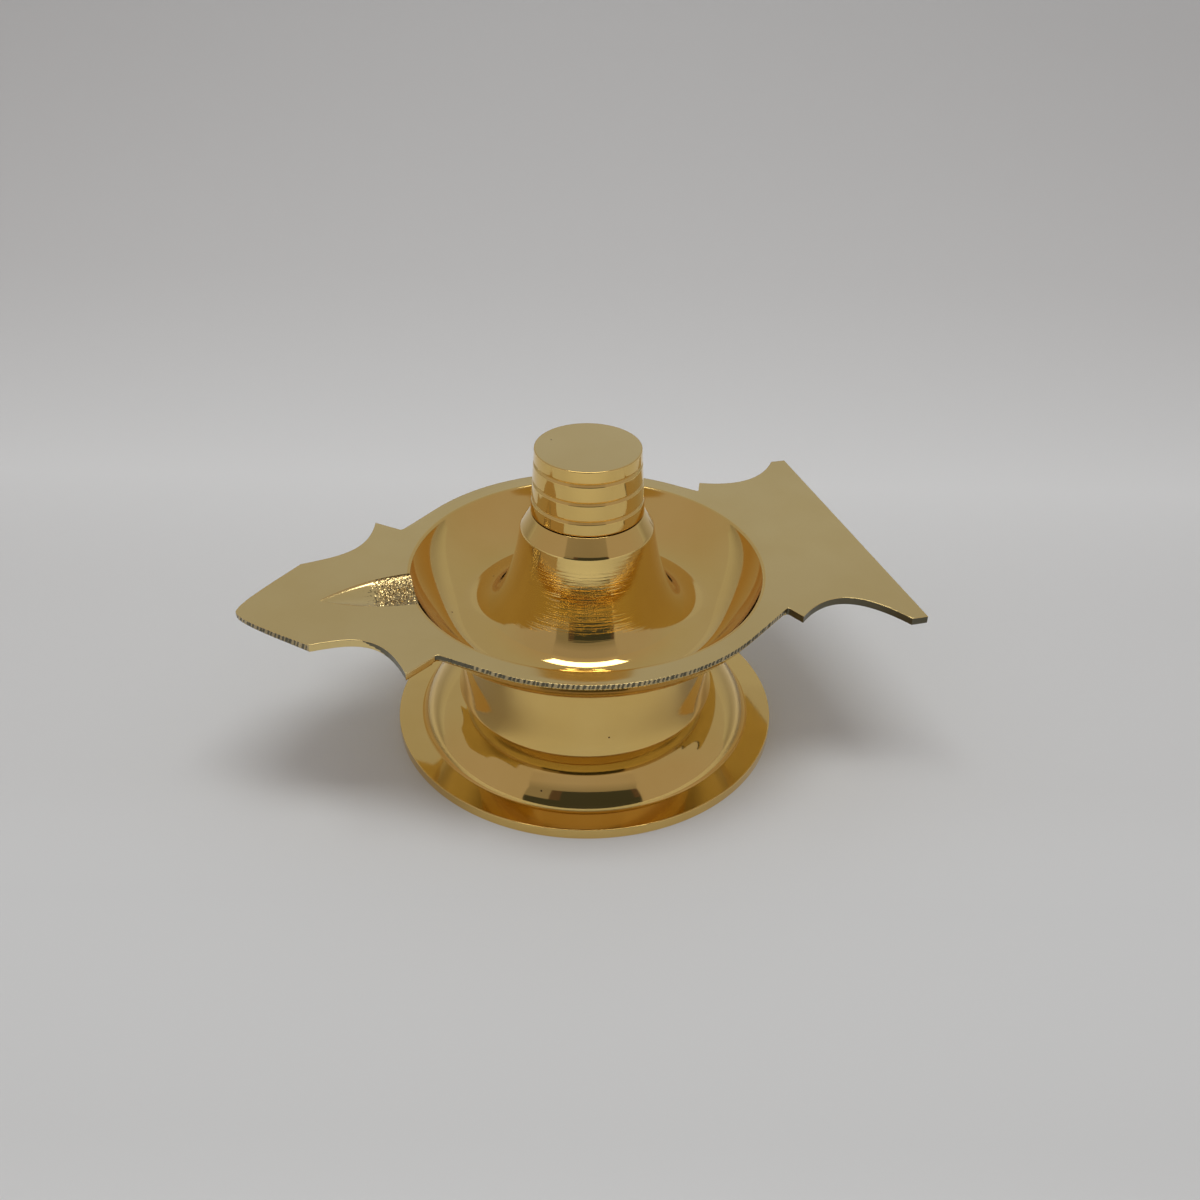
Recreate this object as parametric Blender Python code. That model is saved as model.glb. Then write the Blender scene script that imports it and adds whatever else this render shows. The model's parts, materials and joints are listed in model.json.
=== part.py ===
"""Brass dish oil lamp: a round oil pan with a leaf-shaped wick spout and a fish-tail handle, on a
turned pedestal, held together by a threaded stud whose upper nut is the grooved centre knob.

Units are metres and +Z is up. The lathe axis of all turned pieces is the empty lamp_axis, which is
set off from the origin so that the origin lies under the middle of the whole lamp.
"""
import math

import bmesh
import bpy

# Fits
CONTACT_GAP = 0.0003          # between faces that touch
BORE_CLEARANCE = 0.0006       # stud to the plain holes it passes through, on the radius
THREAD_CLEARANCE = 0.0003     # male to female thread, on the radius

# Knob, from its foot to its flat top
KNOB_FOOT_R = 0.0130
KNOB_TAPER = 0.00095          # how much narrower the top is, on the radius
KNOB_H = 0.0155
KNOB_EDGE = 0.0004            # broken edge round the top
KNOB_GROOVE_DEPTH = 0.0006
KNOB_GROOVE_W = 0.0009
KNOB_BAND_TOP_H = 0.0031      # flat top down to the first groove
KNOB_BAND_PITCH = 0.0045      # one groove to the next
KNOB_GROOVES = 3
KNOB_SKIRT_W = 0.0026         # wall left round the counterbore
KNOB_CROWN_T = 0.0035         # metal left above the tapped hole
KNOB_WASHER_T = 0.0012

# Pan, from the knob's foot outwards
BEVEL_W = 0.00245             # bevelled shoulder of the cone
BEVEL_H = 0.0040
CONE_FLARE_W = 0.01405        # shoulder's edge out to the trough's lowest circle
CONE_H = 0.0228               # trough's lowest circle up to the shoulder's edge
CONE_LEAN = math.radians(9)   # flank below the shoulder, from upright
CONE_HANDLES = (0.0185, 0.0070)
CONE_WALL = 0.0026
CONE_CROWN_T = 0.0034         # metal left above the hollow inside the cone
CONE_CROWN_CHAMFER = 0.0018
BOWL_W = 0.0117               # trough's lowest circle out to the bowl's inner edge
BOWL_DEPTH = 0.0116
BOWL_LEAN = math.radians(13)  # bowl's inside at its edge, from upright
BOWL_HANDLES = (0.0040, 0.0050)
BOWL_FLOOR_T = 0.0029
BOWL_UNDER_BULGE = 0.0021     # how far the underside swells past a straight cone
RIM_W = 0.0048                # flat flange round the bowl
RIM_LIP_W = 0.0005            # flange beyond the bowl's outer wall
FLANGE_T = 0.0019
FOOT_IN = 0.0025              # foot ring inside the trough's lowest circle
FOOT_RING_W = 0.0050
FOOT_STEP = 0.00045           # how far the foot ring stands proud of the bowl

# Spout, measured outwards from the rim and sideways from the centre line
SPOUT_L = 0.0341
SPOUT_SKEW = 0.027            # slope by which the spout is cut out of square
SPOUT_CORNER_OUT = 0.0192
SPOUT_CORNER_HALF_W = 0.0166
SPOUT_BARB_OUT = 0.0003
SPOUT_BARB_HALF_W = 0.0316
SPOUT_NOTCH_IN = 0.0059       # corner between barb and rim lies this far inside the rim's end
SPOUT_NOTCH_HALF_W = 0.0265
SPOUT_TIP_ROUND = 0.0031      # handle length that blunts the tip
SPOUT_BLADE_HANDLE = (0.0060, 0.0058)
SPOUT_WAIST_HANDLE = (0.0105, 0.0009)
SPOUT_BARB_HANDLE = (0.0028, 0.0147)

# Wick groove in the spout
GROOVE_L = 0.0185             # bowl's inner edge to the groove's point
GROOVE_HALF_W = 0.0065
GROOVE_DEPTH = 0.0016
GROOVE_POINT_HALF_W = 0.0002
GROOVE_LEAD = 0.0040          # how far the cut runs on into the open bowl

# Tail, measured the same way
TAIL_L = 0.0210
TAIL_CORNER_OUT = 0.0172
TAIL_CORNER_HALF_W = 0.0387
TAIL_SKEW = 0.038             # slope by which the tail is cut out of square
TAIL_BARB_IN = 0.0058         # barb's tip lies this far inside the rim's end
TAIL_BARB_HALF_W = 0.0321
TAIL_NOTCH_IN = 0.0077
TAIL_NOTCH_HALF_W = 0.0279
TAIL_UNEVEN = 0.0022          # how much deeper one side's hollow is drawn than the other's
TAIL_BARB_HANDLE = (0.0093, 0.0062)
TAIL_CORNER_HANDLE = (0.0062, 0.0107)

# Pedestal
SEAT_Z = 0.0282               # top of the web that the pan sits on
WEB_T = 0.0032
LIP_W = 0.0027                # lip that centres the pan's foot ring
NECK_FLARE = 0.0010
NECK_FOOT_Z = 0.0108
DOME_W = 0.0093
DOME_BULGE = 0.00165
DOME_FOOT_Z = 0.0026
FLANGE_W = 0.0060
BASE_EDGE_H = 0.0025
BASE_EDGE_CHAMFER = 0.0003
PEDESTAL_WALL = 0.0024

# Stud, washers and nut; the thread has a rounded form
STUD_R = 0.00476
STUD_END_L = 0.0025           # stud below the nut
STUD_TOP_GAP = 0.0006         # stud's end to the bottom of the knob's hole
STUD_CHAMFER = 0.0010
THREAD_PITCH = 0.0015875
THREAD_DEPTH = 0.0010
WASHER_R = 0.0100
WASHER_T = 0.0016
SPRING_WASHER_W = 0.0036
SPRING_WASHER_T = 0.0022
SPRING_WASHER_SLIT = 0.0012
NUT_ACROSS_FLATS = 0.0180
NUT_H = 0.0083
NUT_CHAMFER = 0.0009

# Facets
TURNED_STEPS = 48
SMALL_STEPS = 32
THREAD_STEPS = 16
THREAD_RINGS = 5              # rings for each turn of thread
ARC_STEPS = 7
FLANK_STEPS = 10
OUTLINE_STEPS = 6
GROOVE_STATIONS = 5
GROOVE_SECTION_STEPS = 6
SMOOTH_ANGLE = math.radians(32)

# Radii that follow from the widths above
SHOULDER_R = KNOB_FOOT_R + BEVEL_W
TROUGH_R = SHOULDER_R + CONE_FLARE_W
BOWL_R = TROUGH_R + BOWL_W
RIM_R = BOWL_R + RIM_W
PAN_FOOT_R = TROUGH_R - FOOT_IN
NECK_R = PAN_FOOT_R + CONTACT_GAP + LIP_W
NECK_FOOT_R = NECK_R + NECK_FLARE
DOME_FOOT_R = NECK_FOOT_R + DOME_W
BASE_R = DOME_FOOT_R + FLANGE_W
BORE_R = STUD_R + BORE_CLEARANCE

# Heights that follow, from the table up
WEB_UNDER_Z = SEAT_Z - WEB_T
WASHER_Z = WEB_UNDER_Z - CONTACT_GAP - WASHER_T
SPRING_WASHER_Z = WASHER_Z - CONTACT_GAP - SPRING_WASHER_T
NUT_Z = SPRING_WASHER_Z - CONTACT_GAP - NUT_H
STUD_Z = NUT_Z - STUD_END_L
PAN_FOOT_Z = SEAT_Z + CONTACT_GAP
TROUGH_Z = PAN_FOOT_Z + BOWL_FLOOR_T
PAN_TOP_Z = TROUGH_Z + BOWL_DEPTH
FLANGE_UNDER_Z = PAN_TOP_Z - FLANGE_T
SHOULDER_Z = TROUGH_Z + CONE_H
CONE_TOP_Z = SHOULDER_Z + BEVEL_H
KNOB_Z = CONE_TOP_Z + CONTACT_GAP
KNOB_TOP_Z = KNOB_Z + KNOB_H
COUNTERBORE_Z = KNOB_Z + KNOB_WASHER_T + CONTACT_GAP
KNOB_HOLE_TOP_Z = KNOB_TOP_Z - KNOB_CROWN_T
STUD_TOP_Z = KNOB_HOLE_TOP_Z - STUD_TOP_GAP

# The lathe axis sits here so that the lamp is centred on the origin from spout tip to tail end
AXIS_X = (SPOUT_L - TAIL_L - TAIL_SKEW * TAIL_CORNER_HALF_W) / 2

BRASS = (0.62, 0.43, 0.14)
BRASS_STUD = (0.55, 0.38, 0.13)
STEEL = (0.42, 0.42, 0.43)


def clear_scene():
    for obj in list(bpy.data.objects):
        bpy.data.objects.remove(obj, do_unlink=True)


def metal(name, color, roughness):
    """A plain metallic material for one piece."""
    material = bpy.data.materials.new(name)
    material.use_nodes = True
    shader = material.node_tree.nodes["Principled BSDF"]
    shader.inputs["Base Color"].default_value = (*color, 1.0)
    shader.inputs["Metallic"].default_value = 1.0
    shader.inputs["Roughness"].default_value = roughness
    material.diffuse_color = (*color, 1.0)
    return material


def add_object(name, bm, axis, material=None):
    """Turn a bmesh into an object on the lathe axis. Without a material it is a hidden cutter."""
    bmesh.ops.recalc_face_normals(bm, faces=bm.faces)
    mesh = bpy.data.meshes.new(name)
    bm.to_mesh(mesh)
    bm.free()
    obj = bpy.data.objects.new(name, mesh)
    bpy.context.scene.collection.objects.link(obj)
    obj.parent = axis
    if material is None:
        obj.hide_render = True
        obj.display_type = "WIRE"
    else:
        mesh.materials.append(material)
        mesh.shade_smooth()
        mesh.set_sharp_from_angle(angle=SMOOTH_ANGLE)
    return obj


def apply_cutter(obj, cutter, operation="DIFFERENCE"):
    modifier = obj.modifiers.new(cutter.name, "BOOLEAN")
    modifier.operation = operation
    modifier.solver = "EXACT"
    modifier.object = cutter


def arc_between(start, end, bulge, steps=ARC_STEPS):
    """Points of the arc from start to end that swells by bulge to the right of its chord."""
    chord_x = end[0] - start[0]
    chord_y = end[1] - start[1]
    chord = math.hypot(chord_x, chord_y)
    radius = (chord * chord / 4 + bulge * bulge) / (2 * bulge)
    right = (chord_y / chord, -chord_x / chord)
    centre = ((start[0] + end[0]) / 2 + right[0] * (bulge - radius),
              (start[1] + end[1]) / 2 + right[1] * (bulge - radius))
    first = math.atan2(start[1] - centre[1], start[0] - centre[0])
    last = math.atan2(end[1] - centre[1], end[0] - centre[0])
    sweep = (last - first + math.pi) % (2 * math.pi) - math.pi
    angles = [first + sweep * i / steps for i in range(steps + 1)]
    return [(centre[0] + abs(radius) * math.cos(a), centre[1] + abs(radius) * math.sin(a)) for a in angles]


def bezier(start, handle_a, handle_b, end, steps=OUTLINE_STEPS):
    """Points of a cubic curve, ends included."""
    points = []
    for i in range(steps + 1):
        t = i / steps
        weights = ((1 - t) ** 3, 3 * t * (1 - t) ** 2, 3 * t * t * (1 - t), t ** 3)
        knots = (start, handle_a, handle_b, end)
        points.append(tuple(sum(w * k[axis] for w, k in zip(weights, knots)) for axis in (0, 1)))
    return points


def turn_profile(bm, profile, steps):
    """Turn a profile of (radius, height) points about Z and return its rings of vertices."""
    rings = []
    for radius, height in profile:
        ring = []
        for i in range(steps):
            angle = 2 * math.pi * i / steps
            ring.append(bm.verts.new((radius * math.cos(angle), radius * math.sin(angle), height)))
        rings.append(ring)
    for upper, lower in zip(rings, rings[1:]):
        join_rings(bm, upper, lower)
    return rings


def join_rings(bm, upper, lower):
    steps = len(upper)
    for i in range(steps):
        following = (i + 1) % steps
        bm.faces.new((upper[i], lower[i], lower[following], upper[following]))


def turned_ring(profile, steps):
    """A closed profile turned about Z: a body with a hole through it."""
    bm = bmesh.new()
    rings = turn_profile(bm, profile, steps)
    join_rings(bm, rings[-1], rings[0])
    return bm


def turned_plug(profile, steps):
    """An open profile turned about Z and closed by flat ends."""
    bm = bmesh.new()
    rings = turn_profile(bm, profile, steps)
    bm.faces.new(rings[0])
    bm.faces.new(rings[-1])
    return bm


def cone_flank():
    """The cone's flank from its shoulder down and out to the trough's lowest circle, level there."""
    near, far = CONE_HANDLES
    return bezier((SHOULDER_R, SHOULDER_Z),
                  (SHOULDER_R + near * math.sin(CONE_LEAN), SHOULDER_Z - near * math.cos(CONE_LEAN)),
                  (TROUGH_R - far, TROUGH_Z), (TROUGH_R, TROUGH_Z), FLANK_STEPS)


def cone_hollow():
    """Inside of the cone from below its shoulder to its mouth: the flank moved inwards by the wall."""
    flank = cone_flank()
    inner = []
    for i, (radius, height) in enumerate(flank):
        before, after = flank[max(i - 1, 0)], flank[min(i + 1, len(flank) - 1)]
        length = math.dist(before, after)
        inner.append((radius + CONE_WALL * (after[1] - before[1]) / length,
                      height - CONE_WALL * (after[0] - before[0]) / length))
    mouth_r = PAN_FOOT_R - FOOT_RING_W
    hollow = [point for point in inner if point[0] < mouth_r - CONTACT_GAP]
    return hollow + [(mouth_r, height_on(inner, mouth_r)), (mouth_r, PAN_FOOT_Z)]


def bowl_wall():
    """The bowl's inside from the trough's lowest circle to its edge, level at the bottom."""
    near, far = BOWL_HANDLES
    return bezier((TROUGH_R, TROUGH_Z), (TROUGH_R + near, TROUGH_Z),
                  (BOWL_R - far * math.sin(BOWL_LEAN), PAN_TOP_Z - far * math.cos(BOWL_LEAN)),
                  (BOWL_R, PAN_TOP_Z), ARC_STEPS)


def bowl_underside():
    """The bowl's outside from the flange down to the top of the foot ring."""
    start = (RIM_R - RIM_LIP_W, FLANGE_UNDER_Z)
    return arc_between(start, (PAN_FOOT_R, PAN_FOOT_Z + FOOT_STEP), -BOWL_UNDER_BULGE)


def height_on(points, radius):
    """Height of a profile at a radius, between its points."""
    for (r0, z0), (r1, z1) in zip(points, points[1:]):
        if min(r0, r1) <= radius <= max(r0, r1):
            return z0 + (z1 - z0) * (radius - r0) / (r1 - r0)
    nearest = min(points, key=lambda point: abs(point[0] - radius))
    return nearest[1]


def half_outline(side):
    """One side of the flange's outline seen from above, from the tail's end to the spout's tip.
    side is 1 or -1."""
    def tail_point(out, half_w):
        return (RIM_R + out - TAIL_SKEW * side * half_w, side * half_w)

    def spout_point(out, half_w):
        return (-RIM_R - out + SPOUT_SKEW * side * half_w, side * half_w)

    uneven = side * TAIL_UNEVEN
    tail = bezier(tail_point(TAIL_CORNER_OUT, TAIL_CORNER_HALF_W),
                  tail_point(TAIL_CORNER_OUT - TAIL_CORNER_HANDLE[0],
                             TAIL_CORNER_HALF_W - TAIL_CORNER_HANDLE[1] + uneven),
                  tail_point(TAIL_BARB_HANDLE[0] - TAIL_BARB_IN,
                             TAIL_BARB_HALF_W - TAIL_BARB_HANDLE[1] + uneven),
                  tail_point(-TAIL_BARB_IN, TAIL_BARB_HALF_W))
    spout_barb = spout_point(SPOUT_BARB_OUT, SPOUT_BARB_HALF_W)
    spout_corner = spout_point(SPOUT_CORNER_OUT, SPOUT_CORNER_HALF_W)
    waist = bezier(spout_barb,
                   spout_point(SPOUT_BARB_OUT + SPOUT_BARB_HANDLE[0],
                               SPOUT_BARB_HALF_W - SPOUT_BARB_HANDLE[1]),
                   spout_point(SPOUT_CORNER_OUT - SPOUT_WAIST_HANDLE[0],
                               SPOUT_CORNER_HALF_W - SPOUT_WAIST_HANDLE[1]),
                   spout_corner)
    blade = bezier(spout_corner,
                   spout_point(SPOUT_CORNER_OUT + SPOUT_BLADE_HANDLE[0],
                               SPOUT_CORNER_HALF_W - SPOUT_BLADE_HANDLE[1]),
                   spout_point(SPOUT_L, SPOUT_TIP_ROUND),
                   spout_point(SPOUT_L, 0.0))
    tail_notch = tail_point(-TAIL_NOTCH_IN, TAIL_NOTCH_HALF_W)
    spout_notch = (SPOUT_NOTCH_IN - RIM_R, side * SPOUT_NOTCH_HALF_W)
    rim = rim_between(tail_notch, spout_notch, side)
    return [tail_point(TAIL_L, TAIL_CORNER_HALF_W)] + tail + rim + waist[:-1] + blade


def rim_between(start, end, side):
    """Rim's outline between two notches, filed straight from each notch until it meets the circle."""
    def touch(point, way):
        reach = math.acos(min(1.0, RIM_R / math.hypot(*point)))
        return math.atan2(point[1], point[0]) + way * side * reach

    first, last = touch(start, 1), touch(end, -1)
    steps = round(TURNED_STEPS * abs(last - first) / (2 * math.pi))
    angles = [first + (last - first) * i / steps for i in range(steps + 1)]
    return [start] + [(RIM_R * math.cos(a), RIM_R * math.sin(a)) for a in angles] + [end]


def flange_outline():
    """The flange's whole outline, once round, with the spout's tip counted once."""
    return half_outline(1) + half_outline(-1)[-2::-1]


def fill_between(bm, outline, ring):
    """Flat face between an outline of vertices and a ring of vertices inside it."""
    edges = []
    for loop in (outline, ring):
        for a, b in zip(loop, loop[1:] + loop[:1]):
            edges.append(bm.edges.get((a, b)) or bm.edges.new((a, b)))
    bmesh.ops.triangle_fill(bm, use_beauty=True, edges=edges)


def pan_mesh():
    """Cone, bowl, flange, spout and tail as one closed casting, hollow under the cone."""
    upper = [(BORE_R, CONE_TOP_Z), (KNOB_FOOT_R, CONE_TOP_Z)]
    upper += cone_flank() + bowl_wall()[1:]
    hollow = cone_hollow()
    hollow_top_z = CONE_TOP_Z - CONE_CROWN_T
    under = bowl_underside() + [(PAN_FOOT_R, PAN_FOOT_Z)] + list(reversed(hollow))
    under += [(hollow[0][0] - CONE_CROWN_CHAMFER, hollow_top_z), (BORE_R, hollow_top_z)]
    bm = bmesh.new()
    upper_rings = turn_profile(bm, upper, TURNED_STEPS)
    under_rings = turn_profile(bm, under, TURNED_STEPS)
    join_rings(bm, under_rings[-1], upper_rings[0])
    outline = flange_outline()
    top = [bm.verts.new((x, y, PAN_TOP_Z)) for x, y in outline]
    bottom = [bm.verts.new((x, y, FLANGE_UNDER_Z)) for x, y in outline]
    join_rings(bm, top, bottom)
    fill_between(bm, top, upper_rings[-1])
    fill_between(bm, bottom, under_rings[0])
    return bm


def wick_groove_cutter():
    """Tapering gouge cut from the bowl's edge to a point on the spout."""
    bm = bmesh.new()
    rings = []
    stations = [(-GROOVE_LEAD / GROOVE_L, 1.0)]
    stations += [(i / GROOVE_STATIONS, 1.0 - i / GROOVE_STATIONS) for i in range(GROOVE_STATIONS + 1)]
    for along, depth_share in stations:
        taper = 1.0 - max(along, 0.0) ** 2
        half_w = GROOVE_POINT_HALF_W + (GROOVE_HALF_W - GROOVE_POINT_HALF_W) * taper
        depth = GROOVE_POINT_HALF_W + (GROOVE_DEPTH - GROOVE_POINT_HALF_W) * depth_share
        x = -(BOWL_R + GROOVE_L * along)
        ring = [bm.verts.new((x, half_w, PAN_TOP_Z + GROOVE_DEPTH))]
        for i in range(GROOVE_SECTION_STEPS + 1):
            angle = math.pi * i / GROOVE_SECTION_STEPS
            ring.append(bm.verts.new((x, half_w * math.cos(angle), PAN_TOP_Z - depth * math.sin(angle))))
        ring.append(bm.verts.new((x, -half_w, PAN_TOP_Z + GROOVE_DEPTH)))
        rings.append(ring)
    for near, far in zip(rings, rings[1:]):
        join_rings(bm, near, far)
    bm.faces.new(rings[0])
    bm.faces.new(rings[-1])
    return bm


def oil_pan(axis):
    pan = add_object("oil_pan", pan_mesh(), axis, metal("pan_brass", BRASS, 0.18))
    apply_cutter(pan, add_object("wick_groove_cutter", wick_groove_cutter(), axis))


def pedestal(axis):
    """Foot flange, dome and neck, hollow from below, with a web that carries the pan."""
    underside = bowl_underside()
    lip_r = PAN_FOOT_R + CONTACT_GAP
    outside = [(BORE_R, SEAT_Z), (lip_r, SEAT_Z)]
    outside += [(r, height_on(underside, r) - CONTACT_GAP) for r in (lip_r, NECK_R)]
    outside += arc_between((NECK_FOOT_R, NECK_FOOT_Z), (DOME_FOOT_R, DOME_FOOT_Z), -DOME_BULGE)
    outside += [(BASE_R - BASE_EDGE_CHAMFER, BASE_EDGE_H), (BASE_R, BASE_EDGE_H - BASE_EDGE_CHAMFER),
                (BASE_R, 0.0)]
    hollow_top = (NECK_FOOT_R - PEDESTAL_WALL, NECK_FOOT_Z - PEDESTAL_WALL)
    inside = arc_between((DOME_FOOT_R - PEDESTAL_WALL, 0.0), hollow_top, DOME_BULGE)
    inside += [(NECK_R - PEDESTAL_WALL, WEB_UNDER_Z), (BORE_R, WEB_UNDER_Z)]
    bm = turned_ring(outside + inside, TURNED_STEPS)
    add_object("pedestal", bm, axis, metal("pedestal_brass", BRASS, 0.16))


def thread_depth(height, shank):
    """Depth of the thread at a height: none on the plain shank, running out over one pitch."""
    if shank is None:
        return THREAD_DEPTH
    into_thread = max(shank[0] - height, height - shank[1])
    return THREAD_DEPTH * min(1.0, max(0.0, into_thread / THREAD_PITCH))


def thread_heights(low, high, shank):
    """Heights of a threaded rod's rings, with none along the plain shank."""
    step = THREAD_PITCH / THREAD_RINGS
    count = math.ceil((high - low) / step)
    heights = [low + (high - low) * i / count for i in range(count + 1)]
    if shank is None:
        return heights
    return [z for z in heights if z - step <= shank[0] or z + step >= shank[1]]


def threaded_rod(low, high, shank=None, chamfer=0.0, growth=0.0):
    """A rod with a right-hand thread of rounded form, plain along its shank. growth is added to the
    radius, so that a tap is a grown rod with the same thread."""
    bm = bmesh.new()
    rings = []
    for height in thread_heights(low, high, shank):
        ring = []
        depth = thread_depth(height, shank)
        end_r = STUD_R - max(0.0, chamfer - min(height - low, high - height))
        for i in range(THREAD_STEPS):
            angle = 2 * math.pi * i / THREAD_STEPS
            phase = 2 * math.pi * height / THREAD_PITCH - angle
            thread_r = STUD_R - depth * (0.5 - 0.5 * math.cos(phase))
            radius = min(thread_r, end_r) + growth
            ring.append(bm.verts.new((radius * math.cos(angle), radius * math.sin(angle), height)))
        rings.append(ring)
    for lower, upper in zip(rings, rings[1:]):
        join_rings(bm, lower, upper)
    bm.faces.new(rings[0])
    bm.faces.new(rings[-1])
    return bm


def tap(name, low, high, axis):
    """Cutter for a tapped hole that matches the stud's thread with the thread clearance."""
    return add_object(name, threaded_rod(low, high, growth=THREAD_CLEARANCE), axis)


def tie_stud(axis):
    shank = (WEB_UNDER_Z, CONE_TOP_Z - THREAD_PITCH)
    bm = threaded_rod(STUD_Z, STUD_TOP_Z, shank, STUD_CHAMFER)
    add_object("tie_stud", bm, axis, metal("stud_brass", BRASS_STUD, 0.30))


def centre_knob(axis):
    """Tapered knob with three turned grooves, a counterbore below and a tapped blind hole."""
    def side_r(height):
        return KNOB_FOOT_R - KNOB_TAPER * (height - KNOB_Z) / KNOB_H

    profile = [(side_r(KNOB_TOP_Z) - KNOB_EDGE, KNOB_TOP_Z), (side_r(KNOB_TOP_Z), KNOB_TOP_Z - KNOB_EDGE)]
    for i in range(KNOB_GROOVES):
        top = KNOB_TOP_Z - KNOB_BAND_TOP_H - KNOB_BAND_PITCH * i
        bottom = top - KNOB_GROOVE_W
        profile += [(side_r(top), top), (side_r(top) - KNOB_GROOVE_DEPTH, (top + bottom) / 2),
                    (side_r(bottom), bottom)]
    counterbore_r = KNOB_FOOT_R - KNOB_SKIRT_W
    profile += [(KNOB_FOOT_R, KNOB_Z), (counterbore_r, KNOB_Z), (counterbore_r, COUNTERBORE_Z)]
    bm = turned_plug(profile, SMALL_STEPS)
    knob = add_object("centre_knob", bm, axis, metal("knob_brass", BRASS, 0.17))
    apply_cutter(knob, tap("knob_tap", KNOB_Z, KNOB_HOLE_TOP_Z, axis))


def flat_ring(inner_r, outer_r, thickness, low):
    profile = [(inner_r, low + thickness), (outer_r, low + thickness), (outer_r, low), (inner_r, low)]
    return turned_ring(profile, SMALL_STEPS)


def washers(axis):
    knob_washer_r = KNOB_FOOT_R - KNOB_SKIRT_W - CONTACT_GAP
    knob_ring = flat_ring(BORE_R, knob_washer_r, KNOB_WASHER_T, KNOB_Z)
    add_object("knob_washer", knob_ring, axis, metal("knob_washer_brass", BRASS_STUD, 0.35))
    plain_ring = flat_ring(BORE_R, WASHER_R, WASHER_T, WASHER_Z)
    add_object("plain_washer", plain_ring, axis, metal("washer_brass", BRASS_STUD, 0.35))
    spring_ring = flat_ring(BORE_R, BORE_R + SPRING_WASHER_W, SPRING_WASHER_T, SPRING_WASHER_Z)
    spring = add_object("spring_washer", spring_ring, axis, metal("spring_steel", STEEL, 0.32))
    apply_cutter(spring, slit_cutter(axis))


def slit_cutter(axis):
    """Slanted cut that opens the spring washer's ring."""
    bm = bmesh.new()
    lean = SPRING_WASHER_T / 2
    far = BORE_R + 2 * SPRING_WASHER_W
    low = SPRING_WASHER_Z - SPRING_WASHER_T
    high = SPRING_WASHER_Z + 2 * SPRING_WASHER_T
    half = SPRING_WASHER_SLIT / 2
    section = [(-lean - half, low), (-lean + half, low), (lean + half, high), (lean - half, high)]
    near_loop = [bm.verts.new((0.0, y, z)) for y, z in section]
    far_loop = [bm.verts.new((far, y, z)) for y, z in section]
    join_rings(bm, near_loop, far_loop)
    bm.faces.new(near_loop)
    bm.faces.new(far_loop)
    return add_object("spring_slit_cutter", bm, axis)


def hex_nut(axis):
    """Hexagon nut with turned chamfers and a tapped hole."""
    corner_r = NUT_ACROSS_FLATS / math.sqrt(3)
    nut_top_z = NUT_Z + NUT_H
    bm = turned_plug([(corner_r, nut_top_z), (corner_r, NUT_Z)], 6)
    nut = add_object("hex_nut", bm, axis, metal("nut_brass", BRASS_STUD, 0.32))
    face_r = NUT_ACROSS_FLATS / 2
    body_r = face_r + 2 * NUT_CHAMFER
    chamfers = [(face_r, nut_top_z), (body_r, nut_top_z - NUT_CHAMFER), (body_r, NUT_Z + NUT_CHAMFER),
                (face_r, NUT_Z)]
    chamfer_cutter = add_object("nut_chamfer_cutter", turned_plug(chamfers, SMALL_STEPS), axis)
    apply_cutter(nut, chamfer_cutter, "INTERSECT")
    apply_cutter(nut, tap("nut_tap", NUT_Z - THREAD_PITCH, nut_top_z + THREAD_PITCH, axis))


def main():
    clear_scene()
    axis = bpy.data.objects.new("lamp_axis", None)
    bpy.context.scene.collection.objects.link(axis)
    axis.location = (AXIS_X, 0.0, 0.0)
    pedestal(axis)
    oil_pan(axis)
    tie_stud(axis)
    washers(axis)
    hex_nut(axis)
    centre_knob(axis)


main()
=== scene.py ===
"""Looks of the brass dish oil lamp: fine meshes, brass finishes, a pale studio and the photo's camera.

Units are metres. Every piece is built about its own lathe axis, and its object then stands on the axis
that the frame's joints turn about, so an object coordinate is a place on the lathe.
"""
import json
import random
from collections import namedtuple
from math import acos, atan2, ceil, cos, dist, hypot, pi, radians, sin

import bmesh
import bpy
from mathutils import Matrix, Vector, noise


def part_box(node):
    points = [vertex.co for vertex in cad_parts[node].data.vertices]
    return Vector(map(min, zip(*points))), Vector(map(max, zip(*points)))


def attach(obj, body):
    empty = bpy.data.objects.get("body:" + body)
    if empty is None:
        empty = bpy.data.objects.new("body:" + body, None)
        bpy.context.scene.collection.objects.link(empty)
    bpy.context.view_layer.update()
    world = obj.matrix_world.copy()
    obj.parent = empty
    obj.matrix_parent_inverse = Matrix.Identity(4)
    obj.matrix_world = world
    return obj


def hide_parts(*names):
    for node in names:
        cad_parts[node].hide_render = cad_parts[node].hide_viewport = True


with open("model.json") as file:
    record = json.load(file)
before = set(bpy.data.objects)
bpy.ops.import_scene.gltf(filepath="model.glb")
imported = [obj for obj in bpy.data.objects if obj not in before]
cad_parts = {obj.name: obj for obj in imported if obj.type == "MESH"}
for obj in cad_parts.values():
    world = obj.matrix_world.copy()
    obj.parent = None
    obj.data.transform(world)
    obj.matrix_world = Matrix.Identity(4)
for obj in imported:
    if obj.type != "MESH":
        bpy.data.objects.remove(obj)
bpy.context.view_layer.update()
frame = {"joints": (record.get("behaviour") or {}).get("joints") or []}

# Places taken from the frame
AXIS = Vector((frame["joints"][0]["pos_m"][0], frame["joints"][0]["pos_m"][1], 0.0))
PAN_LOW, PAN_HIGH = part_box("oil_pan")
PEDESTAL_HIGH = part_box("pedestal")[1]
KNOB_LOW, KNOB_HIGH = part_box("centre_knob")
STUD_LOW, STUD_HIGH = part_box("tie_stud")
NUT_LOW, NUT_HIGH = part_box("hex_nut")

# Fits
CONTACT_GAP = 0.0003
BORE_CLEARANCE = 0.0006
THREAD_CLEARANCE = 0.0003

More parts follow.
